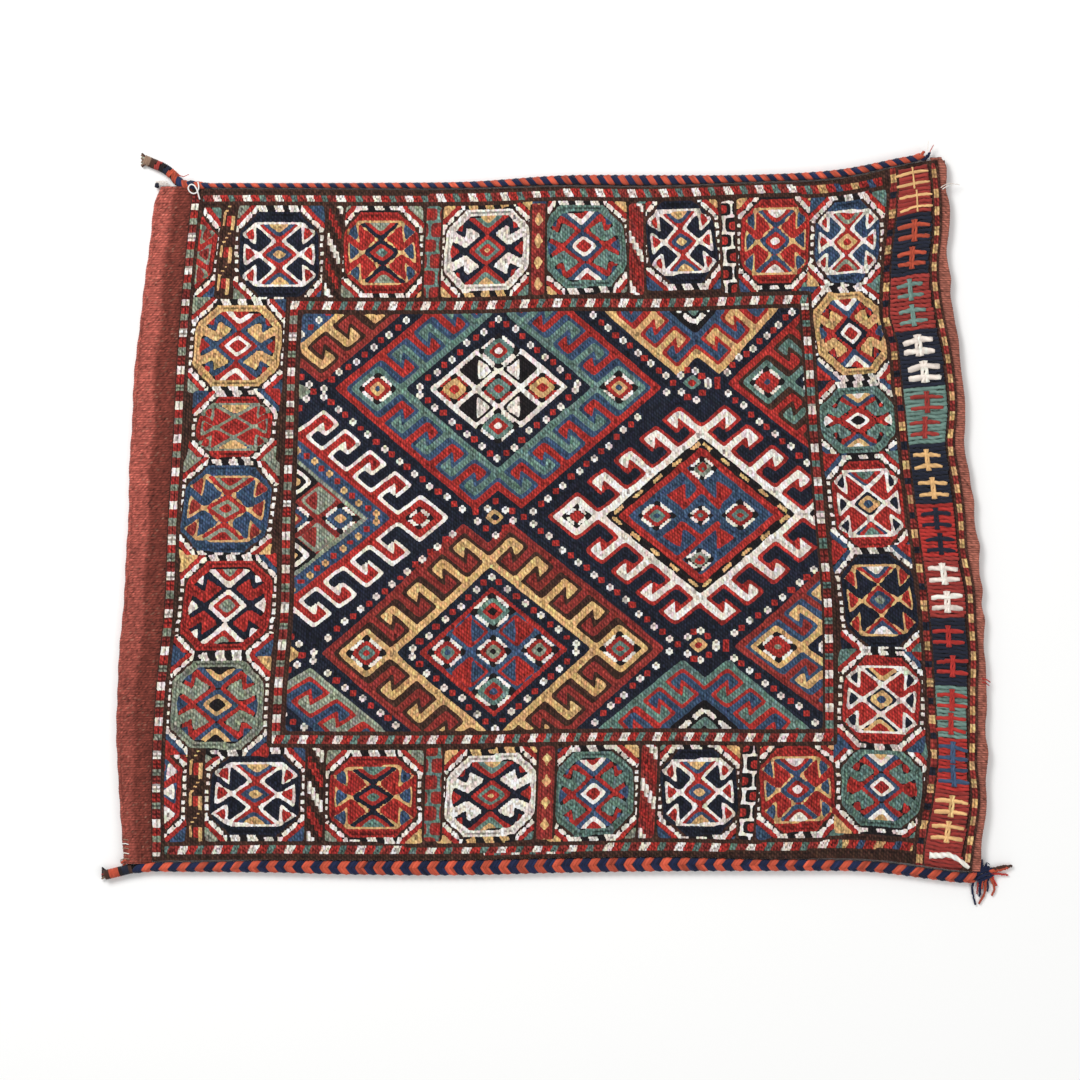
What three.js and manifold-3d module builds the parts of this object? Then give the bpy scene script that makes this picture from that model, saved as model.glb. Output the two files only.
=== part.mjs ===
// Flat-woven grain bag, lying empty: one cloth folded at its bottom edge, with the wrapped pattern
// raised on its front, a plaited braid sewn along each side, and loose ends, a knot and a string at
// its corners.
// Millimetres, +Z up. Seen from above, +X runs from the fold to the mouth and +Y to the upper side.
import * as THREE from "three";
import { mergeVertices } from "three/addons/utils/BufferGeometryUtils.js";
import Module from "manifold-3d";

// The patterned panel: its mean size, and how far its corners lean from a rectangle
const PANEL_WIDTH = 937;
const PANEL_HEIGHT = 830;
const FOLD_LEAN = 49;
const MOUTH_LEAN = 48;
const TOP_RISE = 35;
const BOTTOM_DROP = 13;

// Outward bow of each panel edge from its straight chord, at even shares, left to right or top to bottom
const TOP_BOW = [0, -4, -9, -13, -14, -19, -19, -18, 0];
const BOTTOM_BOW = [0, -3, -4, -6, -10, -13, -12, -13, 0];
const FOLD_BOW = [0, 4, 6, 5, 5, 3, 7, 6, 0];
const MOUTH_BOW = [0, 2, 7, 10, 16, 21, 19, 14, 0];

// How far the fold runs in from its band's full width, at even shares, top to bottom
const FOLD_TAPER = [6, 5, 0, 0, 2, 0, 4, 9, 16];

// The cloth: two layers joined by the fold, with room inside
const FRONT_THICKNESS = 4.5;
const BACK_THICKNESS = 3;
const INNER_GAP = 6;
const FOLD_BAND = 43;
const FOLD_OVERLAP = 4;
const FOLD_TURNS = 4;
const HEM_WIDTH = 12;
const HEM_WAVE = 1.6;
const HEM_WAVES = 7;
const SEAM_CLEARANCE = 0.6;

// The raised pattern, laid out on the weaver's chart, measured from the panel's upper left corner
const CHART_WIDTH = 945;
const CHART_HEIGHT = 808;
const RELIEF_SINK = 1;
const GUARD_RELIEF = 0.9;
const FIGURE_RELIEF = 1.3;
const RING_RELIEF = 1.5;
const OUTER_GUARD_INSET = 11;
const CLOSURE_INSET = 67;
const HEM_GUARD_INSET = 8;
const GUARD_WIDTH = 9;
const GUARD_STEPS = 8;
const FIELD_LEFT = 141;
const FIELD_TOP = 139;
const FIELD_MOUTH_INSET = 169;
const FIELD_BOTTOM_INSET = 146;

// Octagon border: where its rows and columns stand on the chart, and the size of one octagon
const ROW_CENTRES = [115, 247, 377, 496, 620, 735, 829];
const COLUMN_CENTRES = [188, 285, 386, 500, 621];
const TOP_ROW_LINE = 73;
const BOTTOM_ROW_LINE = 725;
const FOLD_COLUMN_LINE = 72;
const MOUTH_COLUMN_LINE = 828;
const OCTAGON_WIDTH = 98;
const OCTAGON_HEIGHT = 103;
const OCTAGON_CORNER = 24;
const OCTAGON_BAND = 9;
const OCTAGON_DIAMOND = 19;

// One arm of an octagon, right and up from its middle: a hooked arm from the ring, or an outlined triangle
const RINGED_ARM = [[41, 26], [41, 17], [24, 5], [9, 19], [20, 30], [25, 18]];
const OUTLINED_ARM = [[24, 41], [42, 27], [28, 12]];
const QUARTERS = [[1, 1], [-1, 1], [-1, -1], [1, -1]];

// Field of hooked diamonds: the lattice, one diamond's frame, and its latch hooks
const LATTICE_LEFT = 152;
const LATTICE_TOP = 82;
const LATTICE_STEP_X = 238;
const LATTICE_STEP_Y = 157;
const LATTICE_COLUMNS = 4;
const LATTICE_ROWS = 5;
const DIAMOND_SLOPE = 2.5 / 3;
const DIAMOND_REACH = 115;
const DIAMOND_BAND = 8;
const EYE_REACH = 34;
const HOOKS_PER_SIDE = 3;
const HOOK_FIRST = 28;
const HOOK_PITCH = 39;
const HOOK_LENGTH = 33;
const HOOK_STEM = 7;
const HOOK_HEAD = 21;
const HOOK_BARB = 15;
const HOOK_SHOULDER = 8;
const HOOK_RELIEF = 1.2;

// Closure band at the mouth: blocks of wrapped bars, each a pair of bars with a post between them
const CLOSURE_BLOCKS = 12;
const CLOSURE_BAR_LENGTH = 40;
const CLOSURE_BAR_WIDTH = 6;
const CLOSURE_BAR_GAP = 8;

// Plaited braids along the two sides: how wide they lie, at even shares from the fold to the mouth
const UPPER_BRAID_WIDTHS = [7, 7, 8, 9, 13, 14, 10, 11, 10];
const LOWER_BRAID_WIDTHS = [12.5, 15, 17.5, 18.5, 18, 17.5, 14.5, 14.5, 14];
const BRAID_TAIL_WIDTH = 11;
const BRAID_THICKNESS = 12.5;
const UPPER_PLAIT_PITCH = 16;
const LOWER_PLAIT_PITCH = 24;
const PLAIT_GROOVE = 0.84;
const PLAIT_CHEVRON = 9;
const BRAID_SHOULDER = 0.55;
const UPPER_BRAID_FROM = 0.02;
const UPPER_BRAID_TO = 0.985;

// Loose ends
const STRAND_RADIUS = 2.2;
const STRAND_TAPER = 0.6;
const STRAND_SIDES = 5;
const STRAND_STEPS = 4;
const BINDING_RADIUS = 6.2;
const TUFT_ROOT_RADIUS = 3.74;
const KNOT_SIZE = 5;
const KNOT_OUTSET = 2;
const KNOT_LOOP_RADIUS = 2.75;
const KNOT_YARN_RADIUS = 1.7;
const STRING_RADIUS = 0.9;
const STRING_SIDES = 8;
const STRING_STEPS = 18;
const END_CLEARANCE = 0.35;
const FLOOR_CLEARANCE = 0.2;
const STRAND_SAG = 2;

// Where the loose ends lie: tips of the strands from their root, right, up and off the floor, and the
// two braid tails from the panel's corner, right and up, from their tips inwards
const TASSEL_TIPS = [
  [38, 8, 4], [34, -14, 2], [31, -27, 1], [22, -36, 1], [13, -34, 0], [4, -26, 0], [30, 10, 1],
];
const TUFT_TIPS = [[4, 11, 0], [0, 12, 2], [9, 8, -2]];
const UPPER_TAIL = [[-60, 37], [-45, 30], [-28, 22], [-8, 12]];
const LOWER_TAIL = [[-57, -18.5], [-41, -13.5], [-26, -9.5]];

// The string's route from the panel's corner: right, up, and above the cloth it lies on
const STRING_ROUTE = [
  [10, -12, 0], [7, -6, 0], [6, 0.5, 2], [7.5, 7, 4], [4, 11, 4.5],
  [-1, 9.5, 4], [-4.5, 5, 2.5], [-4, -1, 1], [0, -5, 0], [4.5, -9, 0],
];

const MOUTH_GUARD_LEFT = CHART_WIDTH - CLOSURE_INSET;
const MOUTH_GUARD_RIGHT = CHART_WIDTH - HEM_GUARD_INSET;
const FIELD_RIGHT = CHART_WIDTH - FIELD_MOUTH_INSET;
const FIELD_BOTTOM = CHART_HEIGHT - FIELD_BOTTOM_INSET;
const FRONT_TOP = BACK_THICKNESS + INNER_GAP + FRONT_THICKNESS;
const BRAID_MIDDLE = FRONT_TOP / 2;

const MERGE_DISTANCE = 1e-4;
const wasm = await Module();
wasm.setup();

/** Turns a closed three.js geometry into a solid that can be joined and cut. */
function solidOf(geometry) {
  const bare = geometry.clone();
  bare.deleteAttribute("normal");
  bare.deleteAttribute("uv");
  const merged = mergeVertices(bare, MERGE_DISTANCE);
  const vertProperties = new Float32Array(merged.attributes.position.array);
  const triVerts = new Uint32Array(merged.index.array);
  return new wasm.Manifold(new wasm.Mesh({ numProp: 3, vertProperties, triVerts }));
}

/** Turns a solid back into a three.js geometry. */
function geometryOf(solid) {
  const { numProp, vertProperties, triVerts } = solid.getMesh();
  const count = vertProperties.length / numProp;
  const positions = new Float32Array(count * 3);
  for (let i = 0; i < count; i += 1) {
    positions.set(vertProperties.subarray(i * numProp, i * numProp + 3), i * 3);
  }
  const geometry = new THREE.BufferGeometry();
  geometry.setAttribute("position", new THREE.BufferAttribute(positions, 3));
  geometry.setIndex(Array.from(triVerts));
  geometry.computeVertexNormals();
  return geometry;
}

/** Joins a list of solids two by two, which keeps each join small. */
function joinAll(solids) {
  let rest = solids;
  while (rest.length > 1) {
    const next = [];
    for (let i = 0; i < rest.length; i += 2) {
      next.push(i + 1 < rest.length ? rest[i].add(rest[i + 1]) : rest[i]);
    }
    rest = next;
  }
  return rest[0];
}

/** A prism over a flat outline of [x, y] points, between two heights. */
function prism(points, low, high, hole) {
  const shape = new THREE.Shape(points.map(([x, y]) => new THREE.Vector2(x, y)));
  if (hole) shape.holes.push(new THREE.Path(hole.map(([x, y]) => new THREE.Vector2(x, y))));
  const geometry = new THREE.ExtrudeGeometry(shape, { depth: high - low, bevelEnabled: false });
  return geometry.translate(0, 0, low);
}

/** A geometry of points and the corner numbers of its triangles. */
function meshOf(points, index) {
  const geometry = new THREE.BufferGeometry();
  const positions = points.flatMap((p) => [p.x, p.y, p.z]);
  geometry.setAttribute("position", new THREE.Float32BufferAttribute(positions, 3));
  geometry.setIndex(index);
  geometry.computeVertexNormals();
  return geometry;
}

/** The triangles that join a row of equal loops, each to the next. */
function sideFaces(rows, sides) {
  const index = [];
  for (let i = 0; i + 1 < rows; i += 1) {
    for (let k = 0; k < sides; k += 1) {
      const a = i * sides + k;
      const b = i * sides + ((k + 1) % sides);
      index.push(a, b, a + sides, b, b + sides, a + sides);
    }
  }
  return index;
}

/** The middle of a loop of points. */
function middleOf(loop) {
  const sum = loop.reduce((total, p) => total.add(p), new THREE.Vector3());
  return sum.divideScalar(loop.length);
}

/** A closed skin over a row of equal loops, with its ends closed by fans round their middles. */
function skin(loops) {
  const sides = loops[0].length;
  const index = sideFaces(loops.length, sides);
  const first = loops.length * sides;
  const last = first - sides;
  for (let k = 0; k < sides; k += 1) {
    const next = (k + 1) % sides;
    index.push(first, next, k);
    index.push(first + 1, last + k, last + next);
  }
  return meshOf([...loops.flat(), middleOf(loops[0]), middleOf(loops[loops.length - 1])], index);
}

/** A closed skin over hairpin loops, whose ends are closed by a strip between outside and inside. */
function hairpinSkin(loops) {
  const sides = loops[0].length;
  const index = sideFaces(loops.length, sides);
  const last = (loops.length - 1) * sides;
  for (let k = 0; k + 1 < sides / 2; k += 1) {
    const mate = sides - 1 - k;
    index.push(k, mate, k + 1, mate, mate - 1, k + 1);
    index.push(last + k, last + k + 1, last + mate, last + mate, last + k + 1, last + mate - 1);
  }
  return meshOf(loops.flat(), index);
}

/** A round strand along hand-chosen points, thinner towards its free end. */
function strand(points) {
  const path = new THREE.CatmullRomCurve3(points.map((p) => new THREE.Vector3(...p)));
  const loops = [];
  for (let i = 0; i <= STRAND_STEPS; i += 1) {
    const share = i / STRAND_STEPS;
    const along = path.getTangentAt(share);
    const across = new THREE.Vector3(-along.y, along.x, 0).normalize();
    const up = new THREE.Vector3().crossVectors(along, across);
    const size = STRAND_RADIUS * THREE.MathUtils.lerp(1, STRAND_TAPER, share);
    const loop = [];
    for (let k = 0; k < STRAND_SIDES; k += 1) {
      const angle = (k / STRAND_SIDES) * Math.PI * 2;
      const point = path.getPointAt(share).clone();
      point.addScaledVector(across, size * Math.cos(angle));
      point.addScaledVector(up, size * Math.sin(angle));
      loop.push(point);
    }
    loops.push(loop);
  }
  return skin(loops);
}

// Panel corners and edges
const corner = {
  topLeft: new THREE.Vector2((FOLD_LEAN - PANEL_WIDTH) / 2, (PANEL_HEIGHT - TOP_RISE) / 2),
  topRight: new THREE.Vector2((PANEL_WIDTH - MOUTH_LEAN) / 2, (PANEL_HEIGHT + TOP_RISE) / 2),
  bottomLeft: new THREE.Vector2((-PANEL_WIDTH - FOLD_LEAN) / 2, (BOTTOM_DROP - PANEL_HEIGHT) / 2),
  bottomRight: new THREE.Vector2((PANEL_WIDTH + MOUTH_LEAN) / 2, (-PANEL_HEIGHT - BOTTOM_DROP) / 2),
};

/** A smooth run through values at even shares, as a function of the share. */
function evenRun(values) {
  const spline = new THREE.SplineCurve(values.map((value, i) => new THREE.Vector2(i, value)));
  return (share) => spline.getPoint(THREE.MathUtils.clamp(share, 0, 1)).y;
}

/** One bowed edge as a function of the share along it. */
function bowedEdge(from, to, bow, outX, outY) {
  const run = evenRun(bow);
  return (share) => {
    const out = run(share);
    return from.clone().lerp(to, share).add(new THREE.Vector2(outX * out, outY * out));
  };
}

const topEdge = bowedEdge(corner.topLeft, corner.topRight, TOP_BOW, 0, 1);
const bottomEdge = bowedEdge(corner.bottomLeft, corner.bottomRight, BOTTOM_BOW, 0, -1);
const foldEdge = bowedEdge(corner.topLeft, corner.bottomLeft, FOLD_BOW, -1, 0);
const mouthEdge = bowedEdge(corner.topRight, corner.bottomRight, MOUTH_BOW, 1, 0);

/** The panel point at a share across (0 fold, 1 mouth) and a share down (0 top, 1 bottom). */
function panelPoint(across, down) {
  const point = topEdge(across).multiplyScalar(1 - down);
  point.addScaledVector(bottomEdge(across), down);
  point.addScaledVector(foldEdge(down), 1 - across);
  point.addScaledVector(mouthEdge(down), across);
  point.addScaledVector(corner.topLeft, -(1 - across) * (1 - down));
  point.addScaledVector(corner.topRight, -across * (1 - down));
  point.addScaledVector(corner.bottomLeft, -(1 - across) * down);
  point.addScaledVector(corner.bottomRight, -across * down);
  return point;
}

/** The panel point of a place on the weaver's chart. */
function chartPoint(right, down) {
  return panelPoint(right / CHART_WIDTH, down / CHART_HEIGHT);
}

const foldTaper = evenRun(FOLD_TAPER);

/** How far right the cloth starts to turn over at the fold, at a share down it. */
function foldTurn(share) {
  return foldEdge(share).x - FOLD_BAND + foldTaper(share);
}

const EDGE_STEPS = 20;
const SLOPE_STEP = 0.01;
const shares = Array.from({ length: EDGE_STEPS + 1 }, (_, i) => i / EDGE_STEPS);

/** The bag's outline: fold tangent line, lower side, hem with its slack waves, upper side. */
function clothOutline() {
  const points = [];
  shares.forEach((s) => points.push([foldTurn(s), foldEdge(s).y]));
  shares.forEach((s) => points.push(bottomEdge(s).toArray()));
  [...shares].reverse().forEach((s) => {
    const wave = HEM_WAVE * Math.sin(s * HEM_WAVES * Math.PI * 2) * Math.sin(s * Math.PI);
    points.push([mouthEdge(s).x + HEM_WIDTH + wave, mouthEdge(s).y]);
  });
  [...shares].reverse().forEach((s) => points.push(topEdge(s).toArray()));
  return points;
}

/** The half-round fold that joins the two layers, lofted down the fold edge. */
function foldRoll() {
  const outer = FRONT_TOP / 2;
  const inner = INNER_GAP / 2;
  const angles = Array.from({ length: FOLD_TURNS + 1 }, (_, k) => Math.PI * (0.5 + k / FOLD_TURNS));
  const loops = shares.map((s) => {
    const x = foldTurn(s);
    const { y } = foldEdge(s);
    const root = x + FOLD_OVERLAP;
    const arc = (radius, middle) => angles.map((angle) => {
      return new THREE.Vector3(x + radius * Math.cos(angle), y, middle + radius * Math.sin(angle));
    });
    return [
      new THREE.Vector3(root, y, FRONT_TOP),
      ...arc(outer, outer),
      new THREE.Vector3(root, y, 0),
      new THREE.Vector3(root, y, BACK_THICKNESS),
      ...arc(inner, BACK_THICKNESS + inner).reverse(),
      new THREE.Vector3(root, y, FRONT_TOP - FRONT_THICKNESS),
    ];
  });
  return hairpinSkin(loops);
}

/** A raised figure on the front, over a flat outline. */
function raised(points, height, hole) {
  return solidOf(prism(points, FRONT_TOP - RELIEF_SINK, FRONT_TOP + height, hole));
}

/** Outline points in millimetres about a chart place, from offsets right and up. */
function about(centre, offsets) {
  return offsets.map(([right, up]) => [centre.x + right, centre.y + up]);
}

/** A raised guard stripe between two chart places, following the panel's bow. */
function guardStripe(from, to) {
  const upright = from[0] === to[0];
  const half = GUARD_WIDTH / 2;
  const near = [];
  const far = [];
  for (let i = 0; i <= GUARD_STEPS; i += 1) {
    const share = i / GUARD_STEPS;
    const right = THREE.MathUtils.lerp(from[0], to[0], share);
    const down = THREE.MathUtils.lerp(from[1], to[1], share);
    const point = chartPoint(right, down);
    near.push([point.x - (upright ? half : 0), point.y - (upright ? 0 : half)]);
    far.unshift([point.x + (upright ? half : 0), point.y + (upright ? 0 : half)]);
  }
  return raised([...near, ...far], GUARD_RELIEF);
}

/** The guard stripes round the panel, the field and the closure band. */
function guardStripes() {
  const low = CHART_HEIGHT - OUTER_GUARD_INSET;
  return [
    guardStripe([0, OUTER_GUARD_INSET], [MOUTH_GUARD_LEFT, OUTER_GUARD_INSET]),
    guardStripe([0, low], [MOUTH_GUARD_LEFT, low]),
    guardStripe([OUTER_GUARD_INSET / 2, 0], [OUTER_GUARD_INSET / 2, CHART_HEIGHT]),
    guardStripe([MOUTH_GUARD_LEFT, 0], [MOUTH_GUARD_LEFT, CHART_HEIGHT]),
    guardStripe([MOUTH_GUARD_RIGHT, 0], [MOUTH_GUARD_RIGHT, CHART_HEIGHT]),
    guardStripe([FIELD_LEFT, FIELD_TOP], [FIELD_RIGHT, FIELD_TOP]),
    guardStripe([FIELD_LEFT, FIELD_BOTTOM], [FIELD_RIGHT, FIELD_BOTTOM]),
    guardStripe([FIELD_LEFT, FIELD_TOP], [FIELD_LEFT, FIELD_BOTTOM]),
    guardStripe([FIELD_RIGHT, FIELD_TOP], [FIELD_RIGHT, FIELD_BOTTOM]),
  ];
}

/** Offsets of an octagon with the given half sizes and corner cut. */
function octagonOffsets(half, tall, cut) {
  return [
    [half - cut, -tall],
    [half, cut - tall],
    [half, tall - cut],
    [half - cut, tall],
    [cut - half, tall],
    [-half, tall - cut],
    [-half, cut - tall],
    [cut - half, -tall],
  ];
}

/** One border octagon: ring, middle diamond, and four hooked arms, ringed or outlined. */
function octagon(centre, ringed) {
  const half = OCTAGON_WIDTH / 2;
  const tall = OCTAGON_HEIGHT / 2;
  const band = OCTAGON_BAND;
  const ring = about(centre, octagonOffsets(half, tall, OCTAGON_CORNER));
  const hole = about(centre, octagonOffsets(half - band, tall - band, OCTAGON_CORNER - band / 3));
  const figures = [raised(ring, RING_RELIEF, hole)];
  figures.push(raised(about(centre, diamondOffsets(OCTAGON_DIAMOND)), FIGURE_RELIEF));
  const arm = ringed ? RINGED_ARM : OUTLINED_ARM;
  QUARTERS.forEach(([sideways, upward]) => {
    const points = arm.map(([right, up]) => [right * sideways, up * upward]);
    figures.push(raised(about(centre, points), FIGURE_RELIEF));
  });
  return figures;
}

/** The octagon border: two rows and two columns, ringed and outlined in the weaver's order. */
function octagonBorder() {
  const figures = [];
  ROW_CENTRES.forEach((right, i) => {
    const ringed = i === 2 || i === 3;
    figures.push(...octagon(chartPoint(right, TOP_ROW_LINE), ringed));
    figures.push(...octagon(chartPoint(right, BOTTOM_ROW_LINE), ringed || i === 6));
  });
  COLUMN_CENTRES.forEach((down, i) => {
    figures.push(...octagon(chartPoint(FOLD_COLUMN_LINE, down), i !== 1 && i !== 2));
    figures.push(...octagon(chartPoint(MOUTH_COLUMN_LINE, down), i < 2));
  });
  return figures;
}

/** Offsets of a diamond on the field's slope. */
function diamondOffsets(reach) {
  return [[reach, 0], [0, reach * DIAMOND_SLOPE], [-reach, 0], [0, -reach * DIAMOND_SLOPE]];
}

/** One hooked diamond of the field: frame, two side eyes, and latch hooks along its four sides. */
function hookedDiamond(centre) {
  const frame = about(centre, diamondOffsets(DIAMOND_REACH + DIAMOND_BAND / 2));
  const hole = about(centre, diamondOffsets(DIAMOND_REACH - DIAMOND_BAND));
  const figures = [raised(frame, FIGURE_RELIEF, hole)];
  [-1, 1].forEach((side) => {
    const eye = centre.clone().add(new THREE.Vector2(side * (DIAMOND_REACH + EYE_REACH), 0));
    const open = about(eye, diamondOffsets(EYE_REACH - DIAMOND_BAND));
    figures.push(raised(about(eye, diamondOffsets(EYE_REACH)), FIGURE_RELIEF, open));
  });
  const step = Math.hypot(1, DIAMOND_SLOPE);
  const half = HOOK_STEM / 2;
  const hook = [
    [0, half],
    [HOOK_LENGTH, half],
    [HOOK_LENGTH, -HOOK_HEAD],
    [HOOK_LENGTH - HOOK_BARB, HOOK_SHOULDER - HOOK_HEAD],
    [HOOK_LENGTH - HOOK_STEM, -half],
    [0, -half],
  ];
  QUARTERS.forEach(([sideways, upward]) => {
    for (let i = 0; i < HOOKS_PER_SIDE; i += 1) {
      const along = HOOK_FIRST + i * HOOK_PITCH;
      const points = hook.map(([out, run]) => {
        const right = DIAMOND_REACH + (out - along - run) / step;
        const up = ((out + along + run) / step) * DIAMOND_SLOPE;
        return [right * sideways, up * upward];
      });
      figures.push(raised(about(centre, points), HOOK_RELIEF));
    }
  });
  return figures;
}

/** The whole field, cut off at its guard stripes as the weaver cut it. */
function hookedField() {
  const figures = [];
  for (let i = 0; i < LATTICE_COLUMNS; i += 1) {
    for (let j = i % 2; j < LATTICE_ROWS; j += 2) {
      const centre = chartPoint(LATTICE_LEFT + i * LATTICE_STEP_X, LATTICE_TOP + j * LATTICE_STEP_Y);
      figures.push(...hookedDiamond(centre));
    }
  }
  const inset = GUARD_WIDTH / 2;
  const bounds = [
    chartPoint(FIELD_LEFT + inset, FIELD_TOP + inset),
    chartPoint(FIELD_LEFT + inset, FIELD_BOTTOM - inset),
    chartPoint(FIELD_RIGHT - inset, FIELD_BOTTOM - inset),
    chartPoint(FIELD_RIGHT - inset, FIELD_TOP + inset),
  ];
  const window = solidOf(prism(bounds.map((p) => p.toArray()), 0, FRONT_TOP + RING_RELIEF));
  return joinAll(figures).intersect(window);
}

/** The closure band: in each block a pair of wrapped bars with a post across them. */
function closureBars() {
  const middle = (MOUTH_GUARD_LEFT + MOUTH_GUARD_RIGHT) / 2;
  const long = CLOSURE_BAR_LENGTH / 2;
  const inner = CLOSURE_BAR_GAP / 2;
  const outer = inner + CLOSURE_BAR_WIDTH;
  const post = CLOSURE_BAR_WIDTH / 2;
  const offsets = [
    [long, inner], [long, outer], [-long, outer], [-long, inner], [-post, inner], [-post, -inner],
    [-long, -inner], [-long, -outer], [long, -outer], [long, -inner], [post, -inner], [post, inner],
  ];
  const figures = [];
  for (let i = 0; i < CLOSURE_BLOCKS; i += 1) {
    const centre = chartPoint(middle, ((i + 0.5) / CLOSURE_BLOCKS) * CHART_HEIGHT);
    figures.push(raised(about(centre, offsets), FIGURE_RELIEF));
  }
  return figures;
}

/** The whole cloth: two layers, the fold between them, and the raised pattern on the front. */
function bagCloth() {
  const outline = clothOutline();
  const front = solidOf(prism(outline, FRONT_TOP - FRONT_THICKNESS, FRONT_TOP));
  const back = solidOf(prism(outline, 0, BACK_THICKNESS));
  const body = joinAll([front, back, solidOf(foldRoll())]);
  const pattern = [...guardStripes(), ...octagonBorder(), hookedField(), ...closureBars()];
  const room = solidOf(prism(outline, 0, FRONT_TOP + RING_RELIEF));
  return geometryOf(body.add(joinAll(pattern).intersect(room)));
}

/** A plaited braid along its side: lobes with grooves between them, swept back into chevrons. */
function braid({ path, width }, pitch, chevron) {
  const length = path.getLength();
  const plaits = Math.round(length / pitch);
  const edge = BRAID_SHOULDER;
  const section = [[1, edge], [0, 1], [-1, edge], [-1, -edge], [0, -1], [1, -edge]];
  const loops = [];
  for (let i = 0; i <= plaits * 2; i += 1) {
    const end = i === 0 || i === plaits * 2;
    const size = i % 2 === 1 ? 1 : PLAIT_GROOVE;
    loops.push(section.map(([across, rise]) => {
      const sweep = end ? 0 : (chevron * (Math.abs(across) - 0.5)) / length;
      const share = THREE.MathUtils.clamp(i / (plaits * 2) + sweep, 0, 1);
      const along = path.getTangentAt(share);
      const side = new THREE.Vector3(-along.y, along.x, 0).normalize();
      const point = path.getPointAt(share).clone();
      point.addScaledVector(side, (across * width(share) * size) / 2);
      point.z += (rise * BRAID_THICKNESS * size) / 2;
      return point;
    }));
  }
  return skin(loops);
}

/** A braid's path along one side of the cloth, square to its edge and clear of it, and its width along it. */
function braidSide(edge, outward, edgeWidths, from, to, tail) {
  const points = tail.map(([x, y]) => new THREE.Vector3(x, y, BRAID_MIDDLE));
  const widths = tail.map(() => BRAID_TAIL_WIDTH);
  const edgeWidth = evenRun(edgeWidths);
  shares.forEach((s) => {
    const share = THREE.MathUtils.lerp(from, to, s);
    const ahead = edge(Math.min(share + SLOPE_STEP, 1));
    const along = ahead.sub(edge(Math.max(share - SLOPE_STEP, 0))).normalize();
    const point = edge(share);
    const off = outward * (edgeWidth(share) / 2 + SEAM_CLEARANCE);
    points.push(new THREE.Vector3(point.x - along.y * off, point.y + along.x * off, BRAID_MIDDLE));
    widths.push(edgeWidth(share));
  });
  const path = new THREE.CatmullRomCurve3(points, false, "centripetal");
  const run = evenRun(widths);
  return { path, width: (share) => run(path.getUtoTmapping(share)) };
}

const upperStart = topEdge(0);
const lowerStart = bottomEdge(0);

/** The upper side's braid, from the tip of the tail at the fold corner to the mouth. */
function upperBraidSide() {
  const tail = about(upperStart, UPPER_TAIL);
  return braidSide(topEdge, 1, UPPER_BRAID_WIDTHS, UPPER_BRAID_FROM, UPPER_BRAID_TO, tail);
}

/** The lower side's braid, from the tip of the tail at the fold corner to the mouth. */
function lowerBraidSide() {
  const tail = about(lowerStart, LOWER_TAIL);
  return braidSide(bottomEdge, -1, LOWER_BRAID_WIDTHS, 0, 1, tail);
}

const upperSide = upperBraidSide();
const lowerSide = lowerBraidSide();

/** The middle of a ball that sits against the end of a braid. */
function seatAtEnd({ path }, radius) {
  return path.getPoint(1).addScaledVector(path.getTangent(1), radius + END_CLEARANCE);
}

/** The tassel at the mouth's lower corner: a binding with its strands spread from it. */
function mouthTassel() {
  const { x, y, z } = seatAtEnd(lowerSide, BINDING_RADIUS);
  const low = STRAND_RADIUS + FLOOR_CLEARANCE;
  const binding = solidOf(new THREE.SphereGeometry(BINDING_RADIUS, 8, 6).translate(x, y, z));
  const strands = TASSEL_TIPS.map(([right, up, rise]) => {
    const bend = [x + right / 2, y + up / 2 - STRAND_SAG, low + rise];
    const points = [[x, y, z], bend, [x + right, y + up, low]];
    return solidOf(strand(points));
  });
  return geometryOf(joinAll([binding, ...strands]));
}

/** The frayed tuft where the upper braid ends at the mouth. */
function mouthTuft() {
  const { x, y, z } = seatAtEnd(upperSide, TUFT_ROOT_RADIUS);
  const ball = solidOf(new THREE.SphereGeometry(TUFT_ROOT_RADIUS, 6, 6).translate(x, y, z));
  const strands = TUFT_TIPS.map(([right, up, rise]) => {
    const points = [[x, y, z], [x + right / 2, y + up / 2, z], [x + right, y + up, z + rise]];
    return solidOf(strand(points));
  });
  return geometryOf(joinAll([ball, ...strands]));
}

/** The small yarn knot at the upper end of the fold. */
function cornerKnot() {
  const x = foldTurn(0) - KNOT_OUTSET;
  const y = upperStart.y + KNOT_SIZE + END_CLEARANCE;
  const knot = new THREE.TorusKnotGeometry(KNOT_LOOP_RADIUS, KNOT_YARN_RADIUS, 18, 4, 2, 3);
  return knot.translate(x, y, BRAID_MIDDLE);
}

/** The thin white string looped through the corner, lying on the cloth. */
function tagString() {
  const { x, y } = upperStart;
  const z = FRONT_TOP + GUARD_RELIEF + STRING_RADIUS + END_CLEARANCE;
  const path = new THREE.CatmullRomCurve3(STRING_ROUTE.map(([right, up, rise]) => {
    return new THREE.Vector3(x + right, y + up, z + rise);
  }));
  const section = new THREE.Shape(Array.from({ length: STRING_SIDES }, (_, k) => {
    const angle = (k / STRING_SIDES) * Math.PI * 2;
    return new THREE.Vector2(STRING_RADIUS * Math.cos(angle), STRING_RADIUS * Math.sin(angle));
  }));
  return new THREE.ExtrudeGeometry(section, { extrudePath: path, steps: STRING_STEPS, bevelEnabled: false });
}

/** One named sub-part with its own material. */
function piece(name, geometry, color, roughness = 0.95) {
  const material = new THREE.MeshStandardMaterial({ color, roughness, metalness: 0 });
  const mesh = new THREE.Mesh(geometry, material);
  mesh.name = name;
  return mesh;
}

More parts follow.
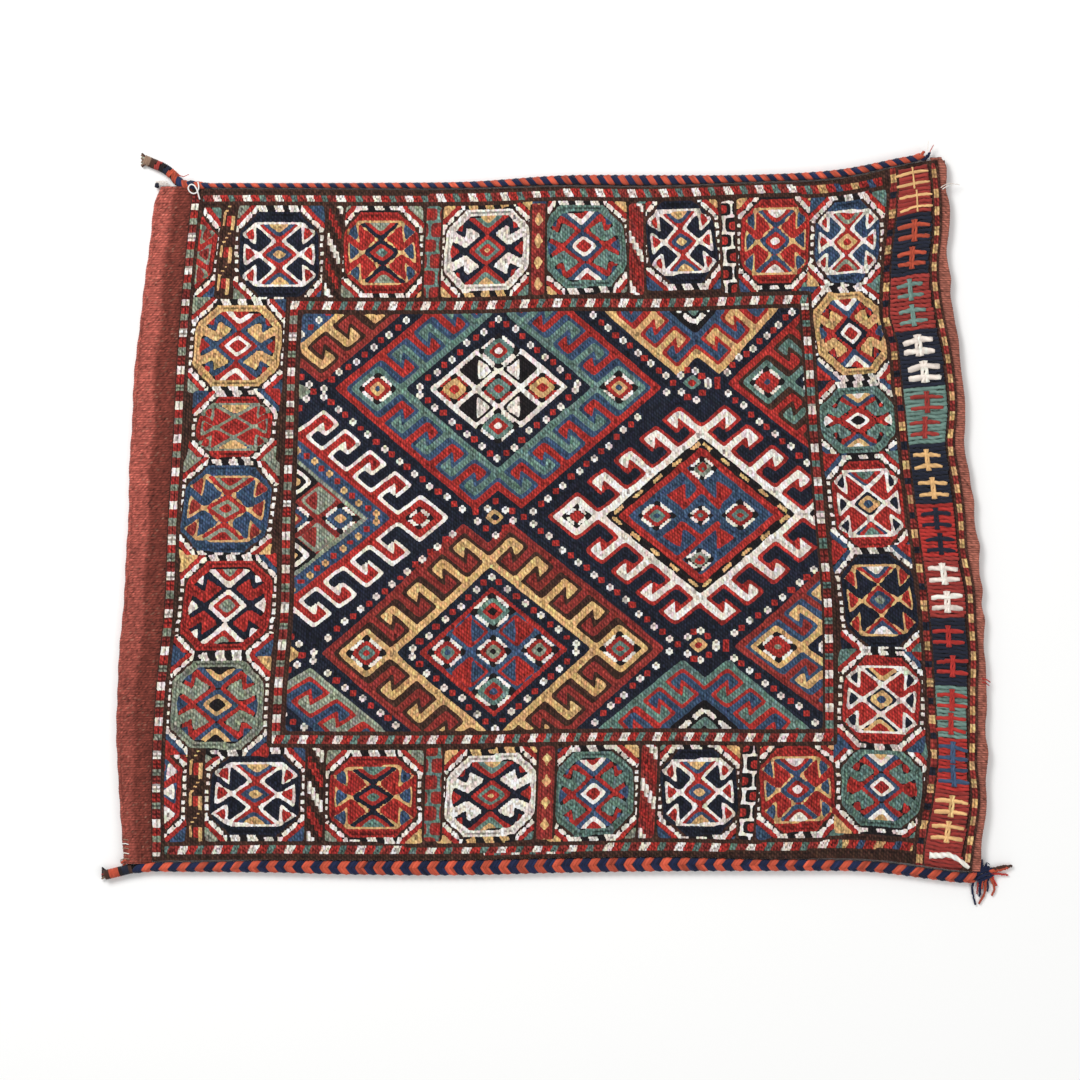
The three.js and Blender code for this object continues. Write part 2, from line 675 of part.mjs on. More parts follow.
const bag = new THREE.Group();
bag.add(piece("bag_cloth", bagCloth(), 0x8c3a2f));
const upperBraid = braid(upperSide, UPPER_PLAIT_PITCH, 0);
const lowerBraid = braid(lowerSide, LOWER_PLAIT_PITCH, PLAIT_CHEVRON);
bag.add(piece("upper_braid", upperBraid, 0xc4583a));
bag.add(piece("lower_braid", lowerBraid, 0xc4583a));
bag.add(piece("mouth_tassel", mouthTassel(), 0xa83a2c));
bag.add(piece("mouth_tuft", mouthTuft(), 0xb04a30));
bag.add(piece("corner_knot", cornerKnot(), 0x26304a));

// The origin is under the middle of the bag, apart from the string
const box = new THREE.Box3().setFromObject(bag);
bag.add(piece("tag_string", tagString(), 0xece8dc, 0.8));
bag.position.set(-(box.min.x + box.max.x) / 2, -(box.min.y + box.max.y) / 2, -box.min.z);
bag.updateMatrixWorld(true);

export default bag;
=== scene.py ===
"""Dresses the flat-woven grain bag: wrapped pattern, plain weave, plaited braids and loose ends.

The pattern is woven, not printed: every wrapped stitch is a small raised bead of yarn in a brick layout,
and the weaver's chart says which yarn each stitch takes. Sizes are millimetres until a mesh is made,
then metres.
"""
from __future__ import annotations

import copy
import logging
import math
from dataclasses import dataclass, field
from enum import Enum
from typing import Callable, Sequence

import bpy
import numpy as np
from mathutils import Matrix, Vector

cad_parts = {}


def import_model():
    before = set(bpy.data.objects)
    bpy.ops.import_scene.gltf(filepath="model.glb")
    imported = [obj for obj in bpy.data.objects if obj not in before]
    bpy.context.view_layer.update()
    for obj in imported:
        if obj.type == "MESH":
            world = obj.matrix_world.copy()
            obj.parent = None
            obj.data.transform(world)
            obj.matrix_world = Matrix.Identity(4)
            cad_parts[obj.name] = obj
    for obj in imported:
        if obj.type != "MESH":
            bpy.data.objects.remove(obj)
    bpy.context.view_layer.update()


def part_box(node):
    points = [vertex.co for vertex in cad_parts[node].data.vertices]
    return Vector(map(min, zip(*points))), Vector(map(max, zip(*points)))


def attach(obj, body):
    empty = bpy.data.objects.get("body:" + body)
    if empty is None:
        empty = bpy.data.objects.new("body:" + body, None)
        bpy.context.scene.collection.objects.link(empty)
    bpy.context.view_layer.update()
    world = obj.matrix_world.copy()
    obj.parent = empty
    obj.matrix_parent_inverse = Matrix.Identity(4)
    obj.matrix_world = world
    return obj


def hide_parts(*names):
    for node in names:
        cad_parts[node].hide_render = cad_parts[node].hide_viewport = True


LOG = logging.getLogger("grain_bag")
MM = 0.001
ROOT_BODY = "root"
Array = np.ndarray
Piece = bpy.types.Object
Pair = tuple[float, float]
Four = tuple[float, float, float, float]
Row = tuple[float, ...]
Pairs = Sequence[Pair]
# Keeps a division by a length safe
TINY = 1e-9
# How far a ply stands out of its strand, as a share of the radius, and how much darker the painted shade
# between plies is
PLY_DEPTH = 0.14
# Size of the weaver's chart, and where its border ends towards the mouth
CHART_WIDTH, CHART_HEIGHT = 945.0, 808.0
BORDER_RIGHT = 890.0
# On the chart, left, top, right and bottom: the field, what the border leaves open, and the field's guards
FIELD_WINDOW = (151.0, 150.0, 766.0, 654.0)
BORDER_OPENING = (150.0, 148.0, 770.0, 655.0)
FIELD_GUARDS = (131.0, 131.0, 783.0, 674.0)
# Corners of a square in turn, from the one at the lowest numbers
CORNERS = ((-1, -1), (1, -1), (1, 1), (-1, 1))


class Yarn(Enum):
    """Dyed wool yarns, as sRGB hex at the crest of a stitch."""

    RED = "#bd3832"
    BRICK = "#a03b35"
    ORANGE = "#bd523b"
    NAVY = "#232736"
    INK = "#221d1f"
    BLUE = "#445a78"
    TEAL = "#749288"
    SAGE = "#9fa692"
    IVORY = "#fdefe3"
    GOLD = "#eebe82"
    BROWN = "#4a3027"
    SALMON = "#aa564a"
    RUST = "#74362c"
    HEM = "#aa6656"
    COTTON = "#f4f2ee"
    STRAW = "#967a66"
    INDIGO = "#1c2442"


Yarns = Sequence[Yarn]
YARNS: Yarns = tuple(Yarn)
YARN_INDEX: dict[Yarn, int] = {yarn: index for index, yarn in enumerate(YARNS)}


def linear(hex_colour: str) -> Array:
    """Turn an sRGB hex colour into linear RGB.

    Args:
        hex_colour: colour as #rrggbb.

    Returns:
        Three linear values.
    """
    value = np.array([int(hex_colour[i:i + 2], 16) / 255 for i in (1, 3, 5)])
    return np.where(value <= 0.04045, value / 12.92, ((value + 0.055) / 1.055) ** 2.4)


YARN_LINEAR: Array = np.array([linear(yarn.value) for yarn in YARNS])
# How deep the shadows between stitches look: light scatters through pale yarn
YARN_SHADOW: Array = np.array([{Yarn.IVORY: 0.38, Yarn.GOLD: 0.7}.get(yarn, 1.0) for yarn in YARNS])


# Curves and paths


def smooth(value: Array) -> Array:
    """Ease a share from 0 to 1 with flat ends."""
    share = np.clip(value, 0, 1)
    return share * share * (3 - 2 * share)


def hermite(before: Array, here: Array, there: Array, after: Array, part: Array) -> Array:
    """Ease from one value to the next, with slopes taken from their neighbours.

    Args:
        before: value before the stretch.
        here: value at its start.
        there: value at its end.
        after: value past it.
        part: shares along the stretch.

    Returns:
        Values on the curve.
    """
    pull_in, pull_out = (there - before) / 2, (after - here) / 2
    return ((2 * here - 2 * there + pull_in + pull_out) * part ** 3
            + (3 * there - 3 * here - 2 * pull_in - pull_out) * part ** 2 + pull_in * part + here)


def unit(vectors: Array) -> Array:
    """Vectors brought to a length of one."""
    return vectors / (np.linalg.norm(vectors, axis=-1, keepdims=True) + TINY)


def run_along(path: Array) -> Array:
    """Length along a path up to each of its places."""
    return np.concatenate([[0], np.cumsum(np.linalg.norm(np.diff(path, axis=0), axis=1))])


def read_along(places: Array, run: Array, path: Array) -> Array:
    """Points of a path at some lengths along it."""
    return np.stack([np.interp(places, run, path[:, k]) for k in range(3)], axis=1)


def even_count(path: Array, count: int) -> Array:
    """Resample a path to a count of evenly spaced places."""
    run = run_along(path)
    return read_along(np.linspace(0, run[-1], count), run, path)


def even_steps(path: Array, step: float) -> Array:
    """Resample a path at an even step along its length."""
    return even_count(path, max(int(run_along(path)[-1] / step), 2) + 1)


# Materials


def add_node(tree: bpy.types.NodeTree, kind: str, settings: dict | None = None,
             links: dict | None = None) -> bpy.types.Node:
    """Add one shader node with its settings and incoming links.

    Args:
        tree: the material's node tree.
        kind: the node's type name.
        settings: values by property name or, where no property has it, by input socket.
        links: output sockets by input socket.

    Returns:
        The new node.
    """
    made = tree.nodes.new(kind)
    for key, value in (settings or {}).items():
        if isinstance(key, str) and hasattr(made, key):
            setattr(made, key, value)
        else:
            made.inputs[key].default_value = value
    for key, socket in (links or {}).items():
        tree.links.new(socket, made.inputs[key])
    return made


@dataclass(frozen=True)
class WoolFinish:
    """Hand-spun yarn: matt, with a soft sheen of loose fibres and short colour changes along the twist.

    The yarn's colour, with painted light and shade, comes from the mesh's colour attribute, so one finish
    serves every colour.
    """

    name: str
    roughness: float = 0.92
    sheen: float = 0.12
    fibre_mm: float = 0.9
    fibre_depth: float = 0.22
    mottle_mm: float = 14.0
    mottle_depth: float = 0.14
    bump_mm: float = 0.25

    def material(self) -> bpy.types.Material:
        """Build the material, or give back the one already built."""
        found = bpy.data.materials.get(self.name)
        if found:
            return found
        material = bpy.data.materials.new(self.name)
        material.use_nodes = True
        tree = material.node_tree
        tree.nodes.clear()
        place = add_node(tree, "ShaderNodeNewGeometry")
        dye_and_shade = add_node(tree, "ShaderNodeVertexColor", {"layer_name": "Yarn"})
        noises, tones = [], []
        for size, detail, depth in ((self.fibre_mm, 3.0, self.fibre_depth),
                                    (self.mottle_mm, 2.0, self.mottle_depth)):
            noises.append(add_node(tree, "ShaderNodeTexNoise", {"Scale": 1 / (size * MM), "Detail": detail},
                                   {"Vector": place.outputs["Position"]}))
            tones.append(add_node(tree, "ShaderNodeMapRange", {3: 1 - depth, 4: 1 + depth},
                                  {"Value": noises[-1].outputs["Fac"]}))
        both = add_node(tree, "ShaderNodeMath", {"operation": "MULTIPLY"},
                        {0: tones[0].outputs[0], 1: tones[1].outputs[0]})
        tint = add_node(tree, "ShaderNodeVectorMath", {"operation": "SCALE"},
                        {0: dye_and_shade.outputs["Color"], "Scale": both.outputs[0]})
        bump = add_node(tree, "ShaderNodeBump", {"Strength": 0.5, "Distance": self.bump_mm * MM},
                        {"Height": noises[0].outputs["Fac"]})
        shader = add_node(tree, "ShaderNodeBsdfPrincipled",
                          {"Roughness": self.roughness, "Sheen Weight": self.sheen, "Sheen Roughness": 0.5,
                           "Specular IOR Level": 0.2},
                          {"Base Color": tint.outputs[0], "Normal": bump.outputs["Normal"]})
        add_node(tree, "ShaderNodeOutputMaterial", links={"Surface": shader.outputs["BSDF"]})
        return material


# Wrapped pattern: thick soft weft that catches light on each bead
WRAPPED_WOOL = WoolFinish("soumak_wrapped_wool")
# Plain weave: tighter and duller, with undyed fibres showing through
PLAIN_WOOL = WoolFinish("plain_woven_wool", sheen=0.1, fibre_mm=0.8, fibre_depth=0.3, mottle_mm=30.0,
                        mottle_depth=0.2, bump_mm=0.35)
# Plait and loose ends: several strands side by side, a little glossier where they are handled
PLAITED_WOOL = WoolFinish("plaited_wool_yarn", roughness=0.86, sheen=0.1, fibre_mm=0.7, fibre_depth=0.3)
# Cotton string: smooth, white, hardly any fuzz
COTTON_STRING = WoolFinish("twisted_cotton_string", roughness=0.8, sheen=0.05, fibre_depth=0.1,
                           mottle_depth=0.04)


@dataclass(frozen=True)
class PaperFloor:
    """Seamless white studio paper: matt, so the bag's shadow stays soft on it."""

    name: str = "matt_white_paper"
    colour: str = "#fbfbfa"

    def material(self) -> bpy.types.Material:
        """Build the floor's material."""
        material = bpy.data.materials.new(self.name)
        material.use_nodes = True
        shader = material.node_tree.nodes["Principled BSDF"]
        shader.inputs["Base Color"].default_value = (*linear(self.colour), 1)
        shader.inputs["Roughness"].default_value = 0.9
        shader.inputs["Specular IOR Level"].default_value = 0.1
        return material


# Meshes


def mesh_piece(name: str, points: Array, faces: Array, colours: Array, finish: WoolFinish,
               flat_map: bool = False) -> Piece:
    """Make one smooth mesh piece that rides on the bag.

    Args:
        name: the piece's name.
        points: vertices in millimetres, one row each.
        faces: corner numbers, one row of three or four to a face.
        colours: linear RGB for each vertex, or for each face corner.
        finish: the wool it is made of.
        flat_map: give it a flat map seen from above, for a piece that lies open.

    Returns:
        The new object.
    """
    mesh = bpy.data.meshes.new(name)
    count, sides = faces.shape
    mesh.vertices.add(len(points))
    mesh.vertices.foreach_set("co", (points * MM).astype(np.float32).ravel())
    mesh.loops.add(count * sides)
    mesh.loops.foreach_set("vertex_index", faces.astype(np.int32).ravel())
    mesh.polygons.add(count)
    mesh.polygons.foreach_set("loop_start", np.arange(0, count * sides, sides, dtype=np.int32))
    mesh.polygons.foreach_set("use_smooth", np.ones(count, dtype=bool))
    mesh.update(calc_edges=True)
    domain = "POINT" if len(colours) == len(points) else "CORNER"
    # The colour attribute holds each yarn's colour with its painted light and shade
    layer = mesh.color_attributes.new("Yarn", "FLOAT_COLOR", domain)
    rgba = np.ones((len(colours), 4), dtype=np.float32)
    rgba[:, :3] = colours
    layer.data.foreach_set("color", rgba.ravel())
    if flat_map:
        low, high = points.min(0), points.max(0)
        share = (points[:, :2] - low[:2]) / (high[:2] - low[:2])
        uv = mesh.uv_layers.new(name="OFBake")
        uv.data.foreach_set("uv", share[faces.ravel()].astype(np.float32).ravel())
    mesh.validate()
    mesh.materials.append(finish.material())
    piece = bpy.data.objects.new(name, mesh)
    bpy.context.scene.collection.objects.link(piece)
    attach(piece, ROOT_BODY)
    LOG.info("%s: %d faces", name, count)
    return piece


def grid_faces(rows: int, columns: int) -> Array:
    """Number the quads of a grid of vertices, row by row.

    Args:
        rows: vertices down the grid.
        columns: vertices across the grid.

    Returns:
        Four corner numbers for each quad.
    """
    first = (np.arange(rows - 1)[:, None] * columns + np.arange(columns - 1)[None, :]).ravel()
    return np.stack([first, first + columns, first + columns + 1, first + 1], axis=1)


@dataclass
class Soup:
    """Collects points, quads and colours of many small solids that make up one piece."""

    points: list[Array] = field(default_factory=list)
    faces: list[Array] = field(default_factory=list)
    colours: list[Array] = field(default_factory=list)
    count: int = 0

    def add(self, points: Array, faces: Array, colours: Array) -> None:
        """Add one solid's points, quads and point colours."""
        self.points.append(points)
        self.faces.append(faces + self.count)
        self.colours.append(colours)
        self.count += len(points)

    def piece(self, name: str, finish: WoolFinish, slot: str) -> Piece:
        """Turn the collected solids into one piece."""
        return mesh_piece(name, np.concatenate(self.points), np.concatenate(self.faces),
                          np.concatenate(self.colours), finish)


def curve_through(points: Sequence[Sequence[float]], steps: int) -> Array:
    """Sample a smooth curve through given points.

    Args:
        points: places along the curve.
        steps: samples for each stretch between two points.

    Returns:
        Sampled places, one row each.
    """
    known = np.asarray(points, float)
    padded = np.vstack([2 * known[0] - known[1], known, 2 * known[-1] - known[-2]])
    share = np.linspace(0, 1, steps, endpoint=False)[:, None]
    parts = [hermite(*padded[i - 1:i + 3], share) for i in range(1, len(padded) - 2)]
    return np.vstack([*parts, known[-1:]])


def add_strand(soup: Soup, path: Array, radius: Array | float, colours: Array, sides: int = 8,
               plies: int = 0, lay_mm: float = 9.0, flatten: float = 1.0) -> None:
    """Add a round strand of yarn along a path, closed at both ends.

    Args:
        soup: where the strand goes.
        path: places along the strand, in millimetres.
        radius: its radius, one value or one for each place.
        colours: one linear colour, or one for each place.
        sides: points round the strand.
        plies: number of plies twisted together, 0 for a smooth strand.
        lay_mm: length of one turn of the twist.
        flatten: height of the section as a share of its width.
    """
    count = len(path)
    along = unit(np.gradient(path, axis=0))
    across = unit(np.stack([-along[:, 1], along[:, 0], np.zeros(count)], axis=1))
    up = np.cross(along, across)
    angle = np.arange(sides) / sides * 2 * math.pi
    size = np.broadcast_to(np.asarray(radius, float), (count,))[:, None]
    lay = run_along(path)[:, None] / lay_mm * 2 * math.pi
    twist = np.cos(plies * (angle[None, :] + lay)) if plies else 0.0
    ring = size * (1 + PLY_DEPTH * twist) * np.ones((count, sides))
    points = (path[:, None, :] + across[:, None, :] * (ring * np.cos(angle))[..., None]
              + up[:, None, :] * (ring * np.sin(angle) * flatten)[..., None]).reshape(-1, 3)
    first = np.arange(count - 1)[:, None] * sides
    near, far = np.arange(sides)[None, :], (np.arange(sides)[None, :] + 1) % sides
    faces = np.stack([first + near, first + far, first + sides + far, first + sides + near], axis=-1)
    half = np.arange(sides // 2 - 1)
    cap = np.stack([half + 1, half, sides - 1 - half, sides - 2 - half], axis=1)
    caps = np.vstack([cap, cap[:, ::-1] + (count - 1) * sides])
    tone = np.broadcast_to(np.asarray(colours, float), (count, 3))
    # Painted shade: each ply darker towards the grooves between plies
    depth = np.clip(1 - PLY_DEPTH + PLY_DEPTH * (twist if plies else 1.0), 0, 1) * np.ones((count, sides))
    shaded = (tone[:, None, :] * depth[..., None]).reshape(-1, 3)
    soup.add(points, np.vstack([faces.reshape(-1, 4), caps]), shaded)


# The cloth's shape


@dataclass
class Panel:
    """The patterned front panel: a bowed four-sided patch, on the same sizes as the solid."""

    width: float = 937.0
    height: float = 830.0
    fold_lean: float = 49.0
    mouth_lean: float = 48.0
    top_rise: float = 35.0
    bottom_drop: float = 13.0
    top_bow: Row = (0, -4, -9, -13, -14, -19, -19, -18, 0)
    bottom_bow: Row = (0, -3, -4, -6, -10, -13, -12, -13, 0)
    fold_bow: Row = (0, 4, 6, 5, 5, 3, 7, 6, 0)
    mouth_bow: Row = (0, 2, 7, 10, 16, 21, 19, 14, 0)
    fold_band: float = 43.0
    fold_taper: Row = (6, 5, 0, 0, 2, 0, 4, 9, 16)
    hem_widths: Row = (
        18, 17, 15, 18, 17, 14, 10, 10, 12, 9, 10, 11, 13, 13, 13, 14, 15, 14, 12, 9, 9, 11, 11, 13, 11,
        11, 14, 11, 10, 12, 9, 12, 10, 9, 11, 11, 11, 11, 9, 9, 12, 10, 9, 11, 12, 11, 10, 11, 11)
    mouth_sway: Row = (
        7, 8.5, 5.5, -2, -2.5, 1.4, 4.8, 4.3, -2.6, -0.5, 0, -1.8, 1.7, 1, 2, 0, -1, -2, 2.9, 2, 0)
    sway_from: float = 885.0
    sway_ease: float = 45.0
    corner_pull: float = 6.5
    corner_share: float = 0.026
    front_top: float = 13.5
    front_thickness: float = 4.5
    back_thickness: float = 3.0
    wave_height: float = 0.9
    slack_ease: float = 60.0
    seam_drop: float = 2.2
    seam_ease: float = 16.0

    def __post_init__(self) -> None:
        """Work out the corners, and the shift from the panel's middle to the bag's origin."""
        half_w, half_h = self.width / 2, self.height / 2
        self.shift = np.zeros(2)
        self.top_left = np.array([self.fold_lean / 2 - half_w, half_h - self.top_rise / 2])
        self.top_right = np.array([half_w - self.mouth_lean / 2, half_h + self.top_rise / 2])
        self.bottom_left = np.array([-half_w - self.fold_lean / 2, self.bottom_drop / 2 - half_h])
        self.bottom_right = np.array([half_w + self.mouth_lean / 2, -half_h - self.bottom_drop / 2])
        low, high = (np.array(corner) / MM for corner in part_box("bag_cloth"))
        leftmost = self.turn(np.linspace(0, 1, 200)).min() - self.front_top / 2
        self.shift = np.array([low[0] - leftmost, high[1] - self.top_right[1]])
        for corner in (self.top_left, self.top_right, self.bottom_left, self.bottom_right):
            corner += self.shift

    @staticmethod
    def bow(values: Sequence[float], share: Array) -> Array:
        """Read a smooth bow through evenly spaced values."""
        table = np.asarray(values, float)
        place = np.clip(share, 0, 1) * (len(table) - 1)
        index = np.minimum(place.astype(int), len(table) - 2)
        nearest = [table[np.clip(index + step, 0, len(table) - 1)] for step in (-1, 0, 1, 2)]
        return hermite(*nearest, place - index)

    def edge(self, start: Array, end: Array, values: Sequence[float], out: tuple[int, int],
             share: Array) -> Array:
        """A bowed edge between two corners.

        Args:
            start: corner at share 0.
            end: corner at share 1.
            values: outward bow at even shares.
            out: which way is outward.
            share: places along the edge.

        Returns:
            Points on the edge.
        """
        straight = start + (end - start) * np.asarray(share)[..., None]
        return straight + self.bow(values, np.asarray(share))[..., None] * np.array(out)

    def top(self, share: Array) -> Array:
        """The panel's upper edge, from the fold to the mouth."""
        return self.edge(self.top_left, self.top_right, self.top_bow, (0, 1), share)

    def bottom(self, share: Array) -> Array:
        """The panel's lower edge, from the fold to the mouth."""
        return self.edge(self.bottom_left, self.bottom_right, self.bottom_bow, (0, -1), share)

    def fold(self, share: Array) -> Array:
        """The panel's edge at the fold band, from the top down."""
        return self.edge(self.top_left, self.bottom_left, self.fold_bow, (-1, 0), share)

    def mouth(self, share: Array) -> Array:
        """The panel's edge at the hem, from the top down."""
        return self.edge(self.top_right, self.bottom_right, self.mouth_bow, (1, 0), share)

    def turn(self, share: Array) -> Array:
        """How far right the cloth starts to turn under at the fold, from the top down."""
        corner = self.corner_pull * (1 - smooth(np.asarray(share) / self.corner_share))
        taper = self.bow(self.fold_taper, np.asarray(share))
        return self.fold(share)[..., 0] - self.fold_band + taper + corner

    def hem(self, down: float) -> float:
        """The hem's width at a share down the mouth: slack, so it bulges between its stitches."""
        return float(self.bow(self.hem_widths, np.array(down)))

    def point(self, across: Array, down: Array) -> Array:
        """The panel point at shares across and down, past the fold and the hem too.

        Args:
            across: 0 at the fold band, 1 at the hem.
            down: 0 at the upper edge, 1 at the lower edge.

        Returns:
            Points in the bag's frame.
        """
        s, t = np.asarray(across)[..., None], np.asarray(down)[..., None]
        sides = (1 - t) * self.top(across) + t * self.bottom(across)
        ends = (1 - s) * self.fold(down) + s * self.mouth(down)
        corners = ((1 - s) * (1 - t) * self.top_left + s * (1 - t) * self.top_right
                   + (1 - s) * t * self.bottom_left + s * t * self.bottom_right)
        return sides + ends - corners

    def chart(self, right: Array, below: Array) -> Array:
        """The panel point of a place on the weaver's chart, which sways along the mouth."""
        down = below / CHART_HEIGHT
        slid = right + self.bow(self.mouth_sway, down) * smooth((right - self.sway_from) / self.sway_ease)
        return self.point(slid / CHART_WIDTH, down)

    def lie(self, x: Array, y: Array, down: Array) -> Array:
        """How far the front layer lies above or below its mean height.

        Args:
            x: places along the bag.
            y: places across the bag.
            down: share from the upper to the lower edge, which pulls the cloth down at both braids.

        Returns:
            Offsets in millimetres.
        """
        slack = (np.sin(x / 97 + 1.2 * np.sin(y / 140)) + np.sin(y / 83 - x / 260 + 2)
                 + 0.6 * np.sin((x + y) / 61)) * self.wave_height / 2
        edge = np.minimum(down, 1 - down) * self.height
        return slack * smooth(edge / self.slack_ease) - self.seam_drop * (1 - smooth(edge / self.seam_ease))


# The weaver's chart


@dataclass
class Chart:
    """The weaver's chart: one yarn for each half stitch, right and down from the fold band's upper end.

    Stitches lie in brick layout, three millimetres by five, so the pattern's diagonals run down the beads.
    The design's own steps, along the fall and the rise of those diagonals, are one stitch each.
    """

    width: float = CHART_WIDTH
    height: float = CHART_HEIGHT
    stitch: float = 3.0
    row: float = 5.0
    bar_left: float = 891.0
    bar_right: float = 932.0

    def __post_init__(self) -> None:
        """Lay out the half stitches."""
        self.columns, self.rows = round(self.width / self.stitch) * 2, round(self.height / self.row * 2)
        line, k = np.meshgrid(np.arange(self.columns), np.arange(self.rows), indexing="ij")
        self.u = (line + 0.5) * self.stitch / 2
        self.v = (k + 0.5) * self.height / self.rows
        self.straight = (self.u > self.bar_left) & (self.u < self.bar_right)
        self.half = np.where(self.straight, 0, line // 2 % 2)
        self.yarn = np.full(self.u.shape, YARN_INDEX[Yarn.INK], dtype=np.int16)
        # Painted shade, multiplied into each stitch's colour: grooves between stitches and cords, the middles
        # of flowers, and the ground under the closure's wraps
        self.shade = np.ones(self.u.shape)
        self.crisp = np.zeros(self.u.shape, dtype=bool)

    def paint(self, where: Array, yarn: Yarn, crisp: bool = False) -> None:
        """Give the stitches of a mask a yarn, crisp where they keep their own corners."""
        self.yarn[where] = YARN_INDEX[yarn]
        self.crisp[where] = crisp

    def depth(self) -> Array:
        """How deep each half stitch lies inside its own yarn, in millimetres up to about six."""
        deep = np.full(self.u.shape, 9.0)
        for i in range(-5, 6):
            for j in range(-3, 4):
                other = np.roll(self.yarn, (i, j), (0, 1)) != self.yarn
                reach = math.hypot(i * self.stitch / 2, j * self.row / 2) - 1.0
                deep = np.where(other, np.minimum(deep, reach), deep)
        return deep

    def box(self, left: float, top: float, right: float, bottom: float) -> Array:
        """Stitches in an upright rectangle."""
        return (self.u >= left) & (self.u < right) & (self.v >= top) & (self.v < bottom)

    def inside(self, corners: Sequence[Sequence[float]], centre: Pair = (0, 0)) -> Array:
        """Stitches inside a polygon.

        Args:
            corners: the polygon's corners, right and down from the centre.
            centre: chart place that the corners are measured from.

        Returns:
            Mask over the stitches.
        """
        x, y = self.u - centre[0], self.v - centre[1]
        within = np.zeros(self.u.shape, dtype=bool)
        points = list(corners)
        for (x0, y0), (x1, y1) in zip(points, points[1:] + points[:1]):
            if y0 == y1:
                continue
            crossing = (y0 > y) != (y1 > y)
            within ^= crossing & (x < (x1 - x0) * (y - y0) / (y1 - y0) + x0)
        return within

    def near(self, corners: Sequence[Sequence[float]], thickness: float,
             centre: Pair = (0, 0), closed: bool = False) -> Array:
        """Stitches within half a thickness of a line through some corners.

        Args:
            corners: the line's corners, right and down from the centre.
            thickness: how wide the line is.
            centre: chart place that the corners are measured from.
            closed: join the last corner to the first.

        Returns:
            Mask over the stitches.
        """
        x, y = self.u - centre[0], self.v - centre[1]
        hit = np.zeros(self.u.shape, dtype=bool)
        points = list(corners)
        for (x0, y0), (x1, y1) in zip(points, points[1:] + (points[:1] if closed else [])):
            length = math.hypot(x1 - x0, y1 - y0) + 1e-9
            share = np.clip(((x - x0) * (x1 - x0) + (y - y0) * (y1 - y0)) / length ** 2, 0, 1)
            hit |= np.hypot(x - x0 - share * (x1 - x0), y - y0 - share * (y1 - y0)) < thickness / 2
        return hit

    def warped(self, right: float, down: float, warp: Four) -> Chart:
        """The same stitches, measured as if a figure about a centre were neither stretched nor leaning.

        Args:
            right: chart place of the centre.
            down: chart place of the centre.
            warp: how far right and down one millimetre right, and one down, come to lie: rr, rd, dr, dd.

        Returns:
            A chart that shares its yarns with this one.
        """
        view = copy.copy(self)
        x, y = self.u - right, self.v - down
        scale = warp[0] * warp[3] - warp[1] * warp[2]
        view.u = right + (warp[3] * x - warp[1] * y) / scale
        view.v = down + (warp[0] * y - warp[2] * x) / scale
        return view

    def steps(self, right: float, down: float) -> tuple[Array, Array]:
        """Diagonal steps from a centre, along the fall and along the rise of the layout."""
        level, lean = (self.v - down) / self.row, (self.u - right) / self.stitch / 2
        return level - lean, level + lean


def on(value: Array, low: float, high: float | None = None) -> Array:
    """Whether a step count lies on whole steps from low to high."""
    return (value >= low - 0.5) & (value < (low if high is None else high) + 0.5)


class OctagonStyle(Enum):
    """The two octagons of the border."""

    OUTLINED = "hooks drawn by an outline on the ground"
    RINGED = "hooked arms that grow from a ring"


@dataclass(frozen=True)
class Octagon:
    """One octagon and its yarns; the frame is half its width, half its height, lean and tilt."""

    right: float
    down: float
    style: OctagonStyle
    ground: Yarn
    line: Yarn
    hooks: Yarn
    wedge: Yarns
    eye: Yarns
    corner: Yarns
    frame: Four
    waist: float = 5.0
    dash: Yarn = Yarn.IVORY


def mirrored(points: Pairs, right: float, down: float) -> list[Pair]:
    """Points mirrored into one quarter, and scaled where the factors aren't whole."""
    return [(x * right, y * down) for x, y in points]


QUARTERS = ((1, 1), (-1, 1), (-1, -1), (1, -1))
# One letter for each yarn, so that the tables read like a weaver's chart
R, K, O, N, I, B, T, S, W, G, D, V, Y = (
    Yarn.RED, Yarn.BRICK, Yarn.ORANGE, Yarn.NAVY, Yarn.INK, Yarn.BLUE, Yarn.TEAL, Yarn.SAGE, Yarn.IVORY,
    Yarn.GOLD, Yarn.BROWN, Yarn.INDIGO, Yarn.STRAW)
OUTLINED, RINGED = OctagonStyle.OUTLINED, OctagonStyle.RINGED
